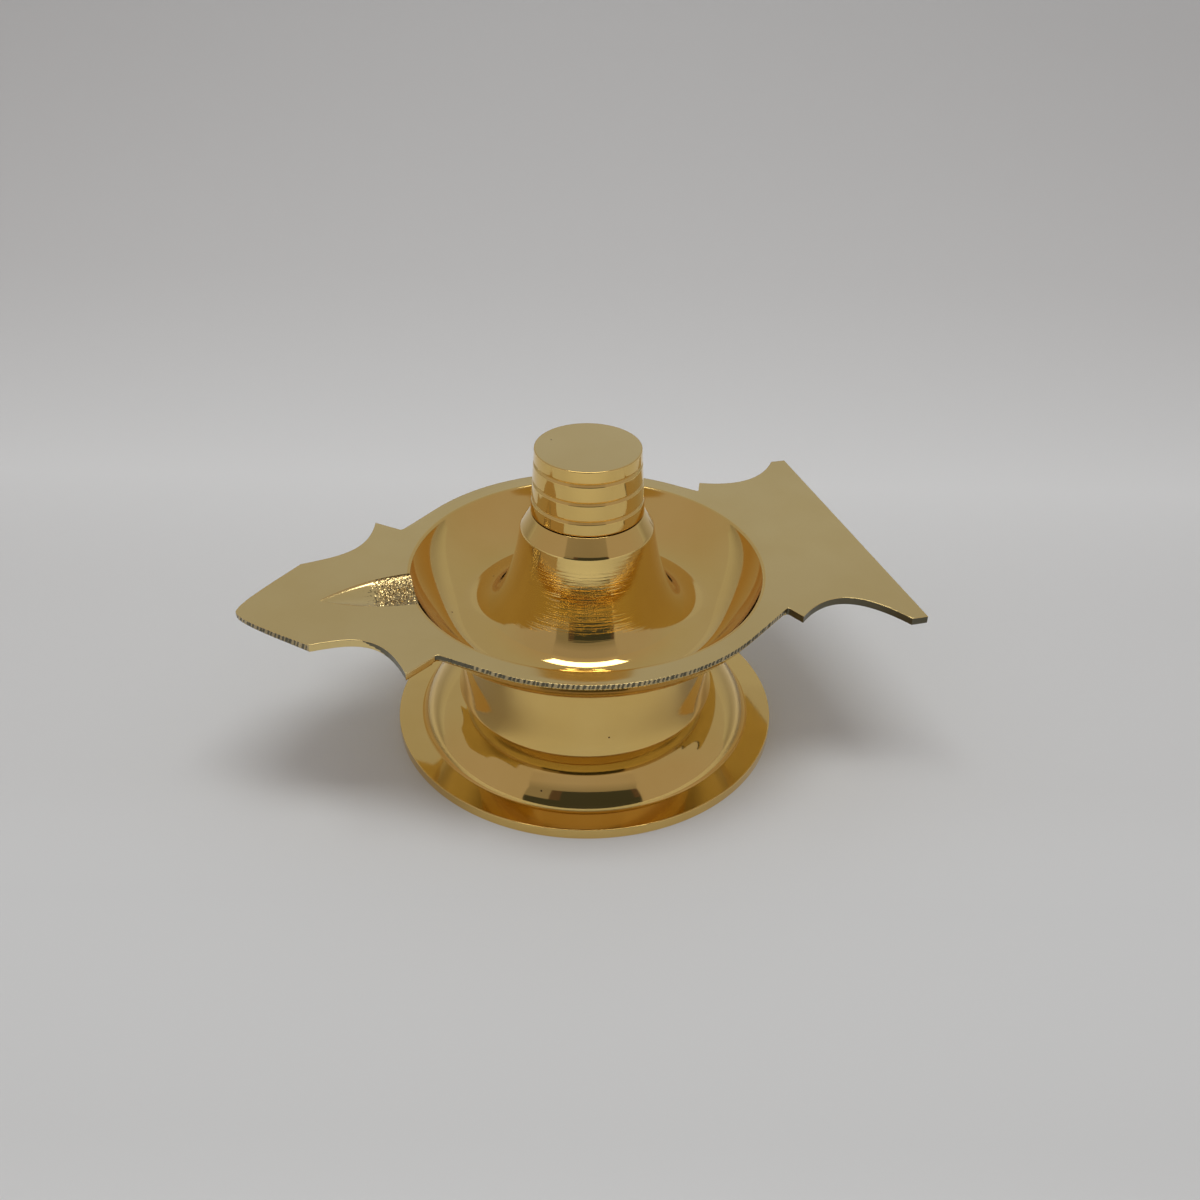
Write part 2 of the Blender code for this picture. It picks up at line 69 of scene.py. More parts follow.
# Knob
KNOB_Z = KNOB_LOW.z
KNOB_TOP_Z = KNOB_HIGH.z
KNOB_FOOT_R = KNOB_HIGH.x - AXIS.x
KNOB_TAPER = 0.00095
KNOB_GROOVE_DEPTH = 0.00030
KNOB_GROOVE_W = 0.0010
KNOB_BAND_TOP_H = 0.0027
KNOB_BAND_PITCH = 0.0045
KNOB_GROOVES = 3
KNOB_FLAT_BANDS = 2  # bands of the profile, from the middle of the top, that are linished
KNOB_SKIRT_W = 0.0026
KNOB_CROWN_T = 0.0035
KNOB_WASHER_T = 0.0012

# Pan
PAN_FOOT_Z = PAN_LOW.z
CONE_TOP_Z = PAN_HIGH.z
BEVEL_W = 0.00245
BEVEL_H = 0.0040
CONE_FLARE_W = 0.01405
CONE_LEAN = radians(8.25)
CONE_HANDLES = (0.0230, 0.0045)
CHATTER_R = 0.0235  # the tool chattered on the cone out to here, and less so over these heights
CHATTER_LOW = (0.0345, 0.0390)
CHATTER_HIGH = (0.0450, 0.0520)
CONE_WALL = 0.0026
CONE_CROWN_T = 0.0034
CONE_CROWN_CHAMFER = 0.0018
BOWL_W = 0.0117
BOWL_DEPTH = 0.0116
BOWL_LEAN = radians(22)
BOWL_HANDLES = (0.0040, 0.0060)
BOWL_FLOOR_T = 0.0029
BOWL_UNDER_BULGE = 0.0024
RIM_W = 0.0048
RIM_LIP_W = 0.0005
RIM_LEAN_IN = RIM_LIP_W * 0.9  # how far the rim's edge leans in below its filed part
UNDER_IN = RIM_LIP_W * 0.95  # where the flange's flat underside starts
RIM_FILED_H = 0.0012  # filed upper part of the rim's edge; the rest is turned and leans in
RIM_DARK_L = 0.008  # length of the rim beside the spout whose edge is tarnished
FLANGE_T = 0.0019
FOOT_IN = 0.0025
FOOT_RING_W = 0.0050
FOOT_STEP = 0.00045
SHOULDER_R = KNOB_FOOT_R + BEVEL_W
TROUGH_R = SHOULDER_R + CONE_FLARE_W
BOWL_R = TROUGH_R + BOWL_W
RIM_R = BOWL_R + RIM_W
PAN_FOOT_R = TROUGH_R - FOOT_IN
TROUGH_Z = PAN_FOOT_Z + BOWL_FLOOR_T
PAN_TOP_Z = TROUGH_Z + BOWL_DEPTH
FLANGE_UNDER_Z = PAN_TOP_Z - FLANGE_T
SHOULDER_Z = CONE_TOP_Z - BEVEL_H

# Spout, measured outwards from the rim and sideways from the centre line
SPOUT_L = AXIS.x - PAN_LOW.x - RIM_R
SPOUT_SKEW = 0.027
SPOUT_CORNER = (0.0192, 0.0166)
SPOUT_BARB = (0.0003, 0.0316)
SPOUT_NOTCH_IN = 0.0063
SPOUT_NOTCH_HALF_W = 0.0265
SPOUT_NOTCH_ROUND = 0.0008
SPOUT_TIP_ROUND = 0.0031
SPOUT_TIP_THIN = 0.36  # how much thinner the flange is at the tip, as a share
SPOUT_BLADE_HANDLE = (0.0060, -0.0058)
SPOUT_WAIST_HANDLE = (-0.0105, -0.0009)
SPOUT_BARB_HANDLE = (0.0028, -0.0147)
SPOUT_UNEVEN = 0.0024  # how much fuller the waist is on the side of positive y
WAIST_DARK = (0.60, 0.34)  # tarnished share of the waist, from the barb, at its edge's top and foot
GROOVE_L = 0.0205
GROOVE_HALF_W = 0.0065
GROOVE_DEPTH = 0.0016
GROOVE_POINT_HALF_W = 0.0002
GROOVE_ROUGH_SHARE = 0.475  # part of the groove, from the bowl, left as rough as it was cast
GROOVE_ROUGH_FADE = 0.15  # share of the length over which its lumps fade
GROOVE_SMOOTH_LUMP = 0.08  # what is left of the lumps past that
GROOVE_CAST_SHARE = GROOVE_ROUGH_SHARE - 0.1  # part with the colour of a casting
GROOVE_CAST_SPREAD = 0.24  # how unevenly that part ends, in patches of the next size
GROOVE_PATCH = 0.0005
GROOVE_SHADE_SHARE = 0.72  # share of the half width past which the corner takes the darker filed finish, as painted shade
GROOVE_ROUGH_H = 0.00032
GROOVE_GRAIN = 0.00026  # size of one lump of the rough casting
GROOVE_FINER = 2.3  # how much finer the second lumps are, and their share
GROOVE_FINER_SHARE = 0.5

# Tail, measured the same way
TAIL_L = 0.0210
TAIL_CORNER = (0.0172, 0.0387)
TAIL_SKEW = 0.038
TAIL_BARB = (-0.0058, 0.0321)
TAIL_NOTCH = (-0.0077, 0.0279)
TAIL_NOTCH_ROUND = 0.0006
TAIL_UNEVEN = 0.0022
TAIL_BARB_HANDLE = (0.0093, -0.0062)
TAIL_CORNER_HANDLE = (-0.0062, -0.0107)

# Pedestal
SEAT_Z = PAN_FOOT_Z - CONTACT_GAP
WEB_T = 0.0032
LIP_W = 0.0027
NECK_FLARE = 0.0010
NECK_FOOT_Z = 0.0108
NECK_FOOT_LEAN = radians(16)
NECK_HANDLES = (0.0120, 0.0035)
DOME_W = 0.0093
DOME_BULGE = 0.00165
DOME_FOOT_Z = 0.0028
BASE_EDGE_H = 0.0025
FOOT_GROOVE = 0.00012  # fine groove turned into the corners at the feet of dome and neck
PEDESTAL_WALL = 0.0024
NECK_R = PAN_FOOT_R + CONTACT_GAP + LIP_W
NECK_FOOT_R = NECK_R + NECK_FLARE
DOME_FOOT_R = NECK_FOOT_R + DOME_W
BASE_R = PEDESTAL_HIGH.x - AXIS.x
WEB_UNDER_Z = SEAT_Z - WEB_T

# Stud, washers and nut
STUD_R = 0.00476
STUD_CHAMFER = 0.0010
THREAD_PITCH = 0.0015875
THREAD_DEPTH = 0.0010
BORE_R = STUD_R + BORE_CLEARANCE
SPRING_SLIT = 0.0012
SPRING_SLANT = 3  # height of the slit's slanted ends for one unit sideways
NUT_ACROSS_FLATS = 0.0180
NUT_CHAMFER = 0.0009
NUT_CHAMFER_SLOPE = 0.5

# Edges: how far each rounding reaches along the two faces that it joins
GROOVE_EDGE = 0.00005
FINE_EDGE = 0.00012
SOFT_EDGE = 0.00022
BOWL_EDGE = 0.00035
SHOULDER_EDGE = 0.00040
SUPPORT = 0.00012  # flat strip kept beside a rounding, so that shading stays flat past it
FLANGE_EDGE = 0.00013
ROLL_W = 0.0016  # width and drop of the wear on the rim's top, from its edge
ROLL_DROP = 0.00008
ROLL_FADE = 0.0040  # length at the rim's ends over which that wear fades out
UNDER_EDGE = 0.00025

# File strokes across the rim's edge and the spout's blades
STROKE_PITCH = 0.00105
STROKE_DEPTH = 0.00030
STROKE_HALF_W = 0.00046
STROKE_SHIFT = 0.22  # how far a stroke may be out of its place, in pitches
STROKE_WIDTHS = (0.6, 1.15)
STROKE_DEPTHS = (0.45, 1.0)
STROKE_TOP_SHARE = 0.5  # depth of the strokes in the rounding above them
STROKE_SEED = 7
STROKE_LEAN = 0.30  # sideways run of a stroke for each unit of height
STROKE_SAMPLES = 7  # outline points for each stroke
STROKE_FADE = 0.0012  # length at an edge's ends over which strokes fade out
STROKE_DARK = 0.00005  # a stroke deeper than this holds dirt

# Facets
TURNED_STEPS = 256
SMALL_STEPS = 128
THREAD_STEPS = 40
THREAD_RINGS = 10
CURVE_STEPS = 36
ROUND_STEPS = 5
ROLL_STEPS = 3
WALL_STEPS = 5
LENGTH_STEPS = 20
NUT_STEPS = 96
OUTLINE_POINT = 0.0009  # spacing of points along a plain outline curve
SAME_POINT = 1e-7
MITRE_LEAST = 0.42  # keeps the inset at a sharp corner from running away
GROOVE_STATIONS = 150
GROOVE_LEAD_STATIONS = 25
GROOVE_SECTION_STEPS = 80
SHARP_ANGLE = radians(38)

# Finishes, as material slots of the pieces
TURNED, FLAT, EDGE, CAST, DARK, CHATTER, UNDER = range(7)

# Kinds of edge on the flange's outline: finish, and depth of the file strokes on those that have any
EDGE_FINISH = {"rim": EDGE, "blade": EDGE, "dark": DARK, "notch": DARK, "bright": FLAT, "waist": FLAT}
STROKE_SHARE = {"rim": 1.0, "blade": 0.55}
EdgePoint = namedtuple("EdgePoint", "place kind along left depth")


# Curves and profiles

def arc_between(start, end, bulge):
    """Points of the arc from start to end that swells by bulge to the right of its chord."""
    chord_x = end[0] - start[0]
    chord_y = end[1] - start[1]
    chord = hypot(chord_x, chord_y)
    radius = (chord * chord / 4 + bulge * bulge) / (2 * bulge)
    right = (chord_y / chord, -chord_x / chord)
    centre = ((start[0] + end[0]) / 2 + right[0] * (bulge - radius),
              (start[1] + end[1]) / 2 + right[1] * (bulge - radius))
    first = atan2(start[1] - centre[1], start[0] - centre[0])
    last = atan2(end[1] - centre[1], end[0] - centre[0])
    sweep = (last - first + pi) % (2 * pi) - pi
    angles = [first + sweep * i / CURVE_STEPS for i in range(CURVE_STEPS + 1)]
    radius = abs(radius)
    return [(centre[0] + radius * cos(a), centre[1] + radius * sin(a)) for a in angles]


def curve_point(knots, t):
    """Point of a Bezier curve of any degree."""
    points = list(knots)
    while len(points) > 1:
        points = [tuple(p + (q - p) * t for p, q in zip(a, b)) for a, b in zip(points, points[1:])]
    return points[0]


def curve(knots, steps):
    return [curve_point(knots, i / steps) for i in range(steps + 1)]


def past(points, length):
    """The part of a polyline that lies further than length from its start."""
    left = length
    for i, (a, b) in enumerate(zip(points, points[1:])):
        step = dist(a, b)
        if step > left:
            return [tuple(p + (q - p) * left / step for p, q in zip(a, b))] + points[i + 1:]
        left -= step
    return points[-1:]


def soften(segments, edges):
    """Join polylines and round each corner over its edge size, with a supporting point past it."""
    profile = list(segments[0])
    for segment, edge in zip(segments[1:], edges):
        corner = segment[0]
        behind = profile[::-1]
        rounding = curve((past(behind, edge)[0], corner, past(segment, edge)[0]), ROUND_STEPS)
        profile = past(behind, edge + SUPPORT)[::-1] + rounding + past(segment, edge + SUPPORT)
    return profile


def lines(*points):
    """Straight runs from point to point."""
    return [[a, b] for a, b in zip(points, points[1:])]


# Meshes

def join_rings(bm, upper, lower, slot=TURNED):
    """Band of quads between two rings of vertices. A ring of one vertex is a pole."""
    count = max(len(upper), len(lower))
    for i in range(count):
        following = (i + 1) % count
        if len(upper) == 1:
            corners = (upper[0], lower[i], lower[following])
        elif len(lower) == 1:
            corners = (upper[i], lower[0], upper[following])
        else:
            corners = (upper[i], lower[i], lower[following], upper[following])
        bm.faces.new(corners).material_index = slot


def tube(bm, rings, capped=False):
    """Bands between rings that follow each other and, if capped, a face over each end."""
    for upper, lower in zip(rings, rings[1:]):
        join_rings(bm, upper, lower)
    if capped:
        bm.faces.new(rings[0])
        bm.faces.new(rings[-1])


def angles_round(steps):
    return [2 * pi * i / steps for i in range(steps)]


def around(bm, radius, angle, height):
    """A vertex at a place round the lathe."""
    return bm.verts.new((radius * cos(angle), radius * sin(angle), height))


def circle(bm, radius, height, steps):
    return [around(bm, radius, angle, height) for angle in angles_round(steps)]


def turn(bm, profile, steps, slots=None):
    """Turn (radius, height) points about Z. slots gives each band's finish, or all are turned."""
    rings = [circle(bm, radius, height, steps if radius > 0.0 else 1) for radius, height in profile]
    for i, (upper, lower) in enumerate(zip(rings, rings[1:])):
        join_rings(bm, upper, lower, slots[i] if slots else TURNED)
    return rings


def ring_edges(bm, *rings):
    """Edges round each ring of vertices, made where there are none yet."""
    edges = []
    for ring in rings:
        for a, b in zip(ring, ring[1:] + ring[:1]):
            edges.append(bm.edges.get((a, b)) or bm.edges.new((a, b)))
    return edges


def new_object(name, data):
    thing = bpy.data.objects.new(name, data)
    bpy.context.scene.collection.objects.link(thing)
    return thing


def lathe_object(name, bm):
    """Turn a bmesh into an object on the lathe axis."""
    bmesh.ops.recalc_face_normals(bm, faces=bm.faces)
    mesh = bpy.data.meshes.new(name)
    bm.to_mesh(mesh)
    bm.free()
    thing = new_object(name, mesh)
    thing.location = AXIS
    return thing


def smooth(mesh):
    mesh.shade_smooth()
    mesh.set_sharp_from_angle(angle=SHARP_ANGLE)


def finish_piece(name, bm, materials, replaced, body):
    """Make a piece that stands for a CAD node and rides on a body."""
    piece = lathe_object(name, bm)
    for material in materials:
        piece.data.materials.append(material)
    smooth(piece.data)
    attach(piece, body)
    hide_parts(replaced)
    return piece


def cut(piece, cutter):
    """Cut one mesh out of another and keep the result, each face with its own finish."""
    modifier = piece.modifiers.new("cut", "BOOLEAN")
    modifier.operation = "DIFFERENCE"
    modifier.solver = "EXACT"
    modifier.object = cutter
    bpy.context.view_layer.update()
    graph = bpy.context.evaluated_depsgraph_get()
    mesh = bpy.data.meshes.new_from_object(piece.evaluated_get(graph))
    piece.modifiers.clear()
    piece.data = mesh
    bpy.data.objects.remove(cutter)
    smooth(mesh)


# Pan

def cone_flank():
    """The cone's flank from its shoulder to the trough's lowest circle, level there."""
    near, far = CONE_HANDLES
    return curve(((SHOULDER_R, SHOULDER_Z),
                  (SHOULDER_R + near * sin(CONE_LEAN), SHOULDER_Z - near * cos(CONE_LEAN)),
                  (TROUGH_R - far, TROUGH_Z), (TROUGH_R, TROUGH_Z)), CURVE_STEPS)


def cone_hollow():
    """Inside of the cone, from its shoulder to its mouth: the flank moved inwards by the wall."""
    flank = cone_flank()
    inner = []
    for i, (radius, height) in enumerate(flank):
        before, after = flank[max(i - 1, 0)], flank[min(i + 1, len(flank) - 1)]
        length = dist(before, after)
        inner.append((radius + CONE_WALL * (after[1] - before[1]) / length,
                      height - CONE_WALL * (after[0] - before[0]) / length))
    mouth_r = PAN_FOOT_R - FOOT_RING_W
    hollow = [point for point in inner if point[0] < mouth_r - CONTACT_GAP]
    return hollow + [(mouth_r, height_on(inner, mouth_r))]


def bowl_wall():
    """The bowl's inside from the trough's lowest circle to its edge."""
    near, far = BOWL_HANDLES
    return curve(((TROUGH_R, TROUGH_Z), (TROUGH_R + near, TROUGH_Z),
                  (BOWL_R - far * sin(BOWL_LEAN), PAN_TOP_Z - far * cos(BOWL_LEAN)),
                  (BOWL_R, PAN_TOP_Z)), CURVE_STEPS)


def bowl_underside():
    """The bowl's outside from the flange down to the top of the foot ring."""
    start = (RIM_R - RIM_LIP_W, FLANGE_UNDER_Z)
    return arc_between(start, (PAN_FOOT_R, PAN_FOOT_Z + FOOT_STEP), -BOWL_UNDER_BULGE)


def height_on(points, radius):
    """Height of a profile at a radius, between its points."""
    for (r0, z0), (r1, z1) in zip(points, points[1:]):
        if min(r0, r1) <= radius <= max(r0, r1):
            return z0 + (z1 - z0) * (radius - r0) / (r1 - r0)
    return points[-1][1]


def run_length(points):
    return sum(dist(a, b) for a, b in zip(points, points[1:]))


def spaced(knots, spacing):
    """Points of a curve at about a spacing."""
    rough = curve(knots, LENGTH_STEPS)
    return curve(knots, max(2, round(run_length(rough) / spacing)))


def rim_between(start, end, side, spacing):
    """Rim between two notches, filed straight from each notch until it meets the circle."""
    def touch(point, way):
        reach = acos(min(1.0, RIM_R / hypot(*point)))
        return atan2(point[1], point[0]) + way * side * reach

    first, last = touch(start, 1), touch(end, -1)
    steps = round(RIM_R * abs(last - first) / spacing)
    angles = [first + (last - first) * i / steps for i in range(steps + 1)]
    circle = [(RIM_R * cos(a), RIM_R * sin(a)) for a in angles]
    return spaced((start, circle[0]), spacing) + circle[1:] + spaced((circle[-1], end), spacing)[1:]


def half_outline(side):
    """Half of the flange's outline, from tail to tip, as runs of points that each have one kind of
    edge. side is 1 or -1."""
    def tail_point(corner, handle=(0.0, 0.0), wider=0.0, skew=TAIL_SKEW):
        half_w = corner[1] + handle[1] + wider
        return (RIM_R + (corner[0] + handle[0]) - skew * side * half_w, side * half_w)

    def spout_point(*corner):
        x, y = tail_point(*corner, skew=SPOUT_SKEW)
        return (-x, y)

    stroke_point = STROKE_PITCH / STROKE_SAMPLES
    uneven = side * TAIL_UNEVEN
    fuller = SPOUT_UNEVEN if side > 0 else 0.0
    tail_end = tail_point((TAIL_L, TAIL_CORNER[1]))
    tail_corner = tail_point(TAIL_CORNER)
    tail_barb = tail_point(TAIL_BARB)
    tail_notch = tail_point(TAIL_NOTCH)
    tail_knots = (tail_corner, tail_point(TAIL_CORNER, TAIL_CORNER_HANDLE, uneven),
                  tail_point(TAIL_BARB, TAIL_BARB_HANDLE, uneven), tail_barb)
    spout_notch = (SPOUT_NOTCH_IN - RIM_R, side * SPOUT_NOTCH_HALF_W)
    spout_barb = spout_point(SPOUT_BARB)
    spout_corner = spout_point(SPOUT_CORNER)
    waist_knots = (spout_barb, spout_point(SPOUT_BARB, SPOUT_BARB_HANDLE, fuller),
                   spout_point(SPOUT_CORNER, SPOUT_WAIST_HANDLE, fuller), spout_corner)
    blade_knots = (spout_corner, spout_point(SPOUT_CORNER, SPOUT_BLADE_HANDLE),
                   spout_point((SPOUT_L, SPOUT_TIP_ROUND)), spout_point((SPOUT_L, 0.0)))
    rim = rim_between(tail_notch, spout_notch, side, stroke_point)
    rim = past(past(rim, TAIL_NOTCH_ROUND)[::-1], SPOUT_NOTCH_ROUND)[::-1]
    tail_barb_end = past([tail_notch, tail_barb], TAIL_NOTCH_ROUND)[0]
    spout_barb_end = past([spout_notch, spout_barb], SPOUT_NOTCH_ROUND)[0]
    return [("dark", spaced((tail_point((TAIL_L, 0.0)), tail_end), OUTLINE_POINT)),
            ("dark", spaced((tail_end, tail_corner), OUTLINE_POINT)),
            ("dark", spaced(tail_knots, OUTLINE_POINT)),
            ("dark", spaced((tail_barb, tail_barb_end), OUTLINE_POINT)),
            ("dark", curve((tail_barb_end, tail_notch, rim[0]), ROUND_STEPS)),
            ("rim", rim),
            ("notch", curve((rim[-1], spout_notch, spout_barb_end), 2 * ROUND_STEPS)),
            ("bright", spaced((spout_barb_end, spout_barb), OUTLINE_POINT)),
            ("waist", spaced(waist_knots, OUTLINE_POINT / 2)),
            ("blade", spaced(blade_knots, stroke_point))]


def stroke_depths(points, draw):
    """Function for the depth of the file strokes at a place along a run and a height."""
    length = run_length(points)
    count = int(length / STROKE_PITCH)
    strokes = []
    for i in range(count):
        place = (i + 0.5 + draw.uniform(-STROKE_SHIFT, STROKE_SHIFT)) * STROKE_PITCH
        half_w = STROKE_HALF_W * draw.uniform(*STROKE_WIDTHS)
        strokes.append((place, half_w, draw.uniform(*STROKE_DEPTHS)))

    def depth(along, height):
        place = along - STROKE_LEAN * height
        nearest = min(count - 1, max(0, int(place / STROKE_PITCH)))
        best = 0.0
        for centre, half_w, share in strokes[max(0, nearest - 1):nearest + 2]:
            best = max(best, share * (1.0 - abs(place - centre) / half_w))
        fade = min(1.0, max(0.0, min(along, length - along) / STROKE_FADE))
        return STROKE_DEPTH * max(0.0, best) * fade

    return depth


def plain_edge(along, height):
    return 0.0


def flange_outline():
    """The flange's outline once round."""
    draw = random.Random(STROKE_SEED)
    points = []
    for side in (1, -1):
        half = []
        for kind, run in half_outline(side):
            depth = stroke_depths(run, draw) if kind in STROKE_SHARE else plain_edge
            along = 0.0
            left = run_length(run)
            for i, place in enumerate(run):
                step = dist(run[i - 1], place) if i else 0.0
                along += step
                left -= step
                if not half or dist(half[-1].place, place) > SAME_POINT:
                    half.append(EdgePoint(place, kind, along, left, depth))
        points += half if side == 1 else half[-2:0:-1]
    return points


def inward(points, i):
    """Direction into the metal at an outline point, long enough to move both edges there by one unit."""
    before, here, after = points[i - 1].place, points[i].place, points[(i + 1) % len(points)].place
    normals = []
    for a, b in ((before, here), (here, after)):
        run = Vector((b[0] - a[0], b[1] - a[1])).normalized()
        normals.append(Vector((-run.y, run.x)))
    middle = (normals[0] + normals[1]).normalized()
    return middle / max(MITRE_LEAST, middle.dot(normals[0]))


def edge_levels(point):
    """(inset, drop, share of the strokes, finish) down the flange's edge at one point. The rim is worn
    on top, and below its filed edge it leans in to the bowl's underside."""
    is_rim = point.kind in ("rim", "notch")
    rolled = min(1.0, min(point.along, point.left) / ROLL_FADE) if point.kind == "rim" else 0.0
    roll = ROLL_DROP * rolled
    filed_h = RIM_FILED_H if is_rim else FLANGE_T - UNDER_EDGE - SUPPORT
    finish = EDGE_FINISH[point.kind]
    levels = []
    for i in range(ROLL_STEPS + 1):
        share = i / ROLL_STEPS
        inset = FLANGE_EDGE + SUPPORT + (SUPPORT + ROLL_W * rolled) * (1 - share)
        levels.append((inset, roll * share ** 2, 0.0, FLAT))
    for i in range(ROUND_STEPS + 1):
        angle = pi / 2 * i / ROUND_STEPS
        inset = FLANGE_EDGE * (1 - sin(angle))
        drop = roll + (FLANGE_EDGE - roll) * (1 - cos(angle))
        levels.append((inset, drop, STROKE_TOP_SHARE * i / ROUND_STEPS, FLAT))
    for i in range(1, WALL_STEPS + 1):
        levels.append((0.0, FLANGE_EDGE + (filed_h - FLANGE_EDGE) * i / WALL_STEPS, 1.0, finish))
    for i in range(1, ROUND_STEPS + 1):
        share = i / ROUND_STEPS
        if is_rim:
            levels.append((RIM_LEAN_IN * share, filed_h + (FLANGE_T - filed_h) * share, 0.0, UNDER))
        else:
            angle = pi / 2 * share
            drop = FLANGE_T - UNDER_EDGE * (1 - sin(angle))
            levels.append((UNDER_EDGE * (1 - cos(angle)), drop, 1.0 - share, finish))
    levels.append((UNDER_IN, FLANGE_T, 0.0, UNDER))
    return levels


def thinning(x):
    """Share of the flange's thickness at a place along the lamp: the spout thins to its tip."""
    corner = RIM_R + SPOUT_CORNER[0]
    into_blade = max(0.0, (-x - corner) / (RIM_R + SPOUT_L - corner))
    return 1.0 - SPOUT_TIP_THIN * into_blade


def tarnished(point, drop, finish):
    """Whether the edge is dark at a point and depth: in strokes, beside the spout and by the barb."""
    if point.kind == "waist" and drop > FLANGE_EDGE:
        top, foot = WAIST_DARK
        return point.along / (point.along + point.left) < top + (foot - top) * (drop / FLANGE_T) ** 2
    if finish != EDGE:
        return False
    beside_spout = point.kind == "rim" and point.left < RIM_DARK_L
    return beside_spout or point.depth(point.along, drop) > STROKE_DARK


def edge_loops(bm):
    """Rings of vertices down the flange's filed edge, joined to each other."""
    points = flange_outline()
    levels = [edge_levels(point) for point in points]
    loops = []
    for level in range(len(levels[0])):
        loop = []
        for i, point in enumerate(points):
            inset, drop, share, _ = levels[i][level]
            inset += point.depth(point.along, drop) * share * STROKE_SHARE.get(point.kind, 0.0)
            moved = Vector(point.place) + inward(points, i) * inset
            loop.append(bm.verts.new((moved.x, moved.y, PAN_TOP_Z - drop * thinning(point.place[0]))))
        loops.append(loop)
    for level, (upper, lower) in enumerate(zip(loops, loops[1:])):
        for i, point in enumerate(points):
            following = (i + 1) % len(points)
            face = bm.faces.new((upper[i], lower[i], lower[following], upper[following]))
            _, drop, _, finish = levels[i][level + 1]
            face.material_index = DARK if tarnished(point, drop, finish) else finish
    return loops


def fill_between(bm, outline, ring, slot):
    """Flat face between an outline of vertices and a ring of vertices inside it."""
    made = bmesh.ops.triangle_fill(bm, use_beauty=True, edges=ring_edges(bm, outline, ring))
    for face in made["geom"]:
        if isinstance(face, bmesh.types.BMFace):
            face.material_index = slot


def pan_profiles():
    """The pan's turned top, from the bore out, and its underside, from the flange in."""
    edge_ring = (BOWL_R + BOWL_EDGE + 2 * SUPPORT, PAN_TOP_Z)
    upper = soften(lines((BORE_R, CONE_TOP_Z), (KNOB_FOOT_R, CONE_TOP_Z), (SHOULDER_R, SHOULDER_Z))
                   + [cone_flank() + bowl_wall()[1:]]
                   + lines((BOWL_R, PAN_TOP_Z), edge_ring),
                   [FINE_EDGE, SHOULDER_EDGE, BOWL_EDGE])
    hollow_top_z = CONE_TOP_Z - CONE_CROWN_T
    hollow = cone_hollow()[::-1]
    mouth = (hollow[0][0], PAN_FOOT_Z)
    crown = (hollow[-1][0] - CONE_CROWN_CHAMFER, hollow_top_z)
    step = (PAN_FOOT_R, PAN_FOOT_Z + FOOT_STEP)
    under = soften([bowl_underside()]
                   + lines(step, (PAN_FOOT_R, PAN_FOOT_Z), mouth, hollow[0])
                   + [hollow]
                   + lines(hollow[-1], crown, (BORE_R, hollow_top_z)),
                   [FINE_EDGE] * 2 + [SOFT_EDGE] * 4)
    return upper, under


def groove_taper(along):
    """Share of the groove's full section left at a share of its length."""
    return 1.0 - max(along, 0.0) ** 2


def groove_finish(centre):
    """Finish of the groove: rough near the bowl, with painted shade in the corner at negative y, given
    by the darker filed finish.
    """
    along = (-centre.x - BOWL_R) / GROOVE_L
    if along + GROOVE_CAST_SPREAD * noise.noise(centre / GROOVE_PATCH) < GROOVE_CAST_SHARE:
        return CAST
    # painted shade: the corner at negative y takes the darker filed finish
    corner = -GROOVE_SHADE_SHARE * GROOVE_HALF_W * groove_taper(along)
    return EDGE if centre.y < corner else FLAT


def groove_cutter():
    """Tapering gouge from the bowl's edge to a point on the spout, lumpy near the bowl."""
    bm = bmesh.new()
    rings = []
    for station in range(-GROOVE_LEAD_STATIONS, GROOVE_STATIONS + 1):
        along = station / GROOVE_STATIONS
        taper = groove_taper(along)
        half_w = GROOVE_POINT_HALF_W + (GROOVE_HALF_W - GROOVE_POINT_HALF_W) * taper
        depth = GROOVE_POINT_HALF_W + (GROOVE_DEPTH - GROOVE_POINT_HALF_W) * taper
        rough = min(1.0, max(GROOVE_SMOOTH_LUMP, (GROOVE_ROUGH_SHARE - along) / GROOVE_ROUGH_FADE))
        x = -(BOWL_R + GROOVE_L * along)
        ring = [bm.verts.new((x, half_w, PAN_TOP_Z + GROOVE_DEPTH))]
        for i in range(GROOVE_SECTION_STEPS + 1):
            angle = pi * i / GROOVE_SECTION_STEPS
            place = Vector((x, half_w * cos(angle), PAN_TOP_Z - depth * sin(angle)))
            lump = noise.noise(place / GROOVE_GRAIN)
            lump += GROOVE_FINER_SHARE * noise.noise(place * GROOVE_FINER / GROOVE_GRAIN)
            place.z += lump * GROOVE_ROUGH_H * rough * sin(angle)
            ring.append(bm.verts.new(place))
        ring.append(bm.verts.new((x, -half_w, PAN_TOP_Z + GROOVE_DEPTH)))
        rings.append(ring)
    tube(bm, rings, capped=True)
    for face in bm.faces:
        face.material_index = groove_finish(face.calc_center_median())
    return lathe_object("groove_cutter", bm)


def oil_pan(materials):
    bm = bmesh.new()
    upper, under = pan_profiles()
    chatter = [CHATTER if SHOULDER_R < radius < CHATTER_R and height < SHOULDER_Z else TURNED
               for radius, height in upper[1:]]
    upper_rings = turn(bm, upper, TURNED_STEPS, chatter)
    under_rings = turn(bm, under, TURNED_STEPS, [UNDER] * (len(under) - 1))
    join_rings(bm, under_rings[-1], upper_rings[0])
    loops = edge_loops(bm)
    fill_between(bm, loops[0], upper_rings[-1], FLAT)
    fill_between(bm, loops[-1], under_rings[0], UNDER)
    pan = finish_piece("oil_pan_casting", bm, materials, "oil_pan", "pan")
    cut(pan, groove_cutter())


# Pedestal

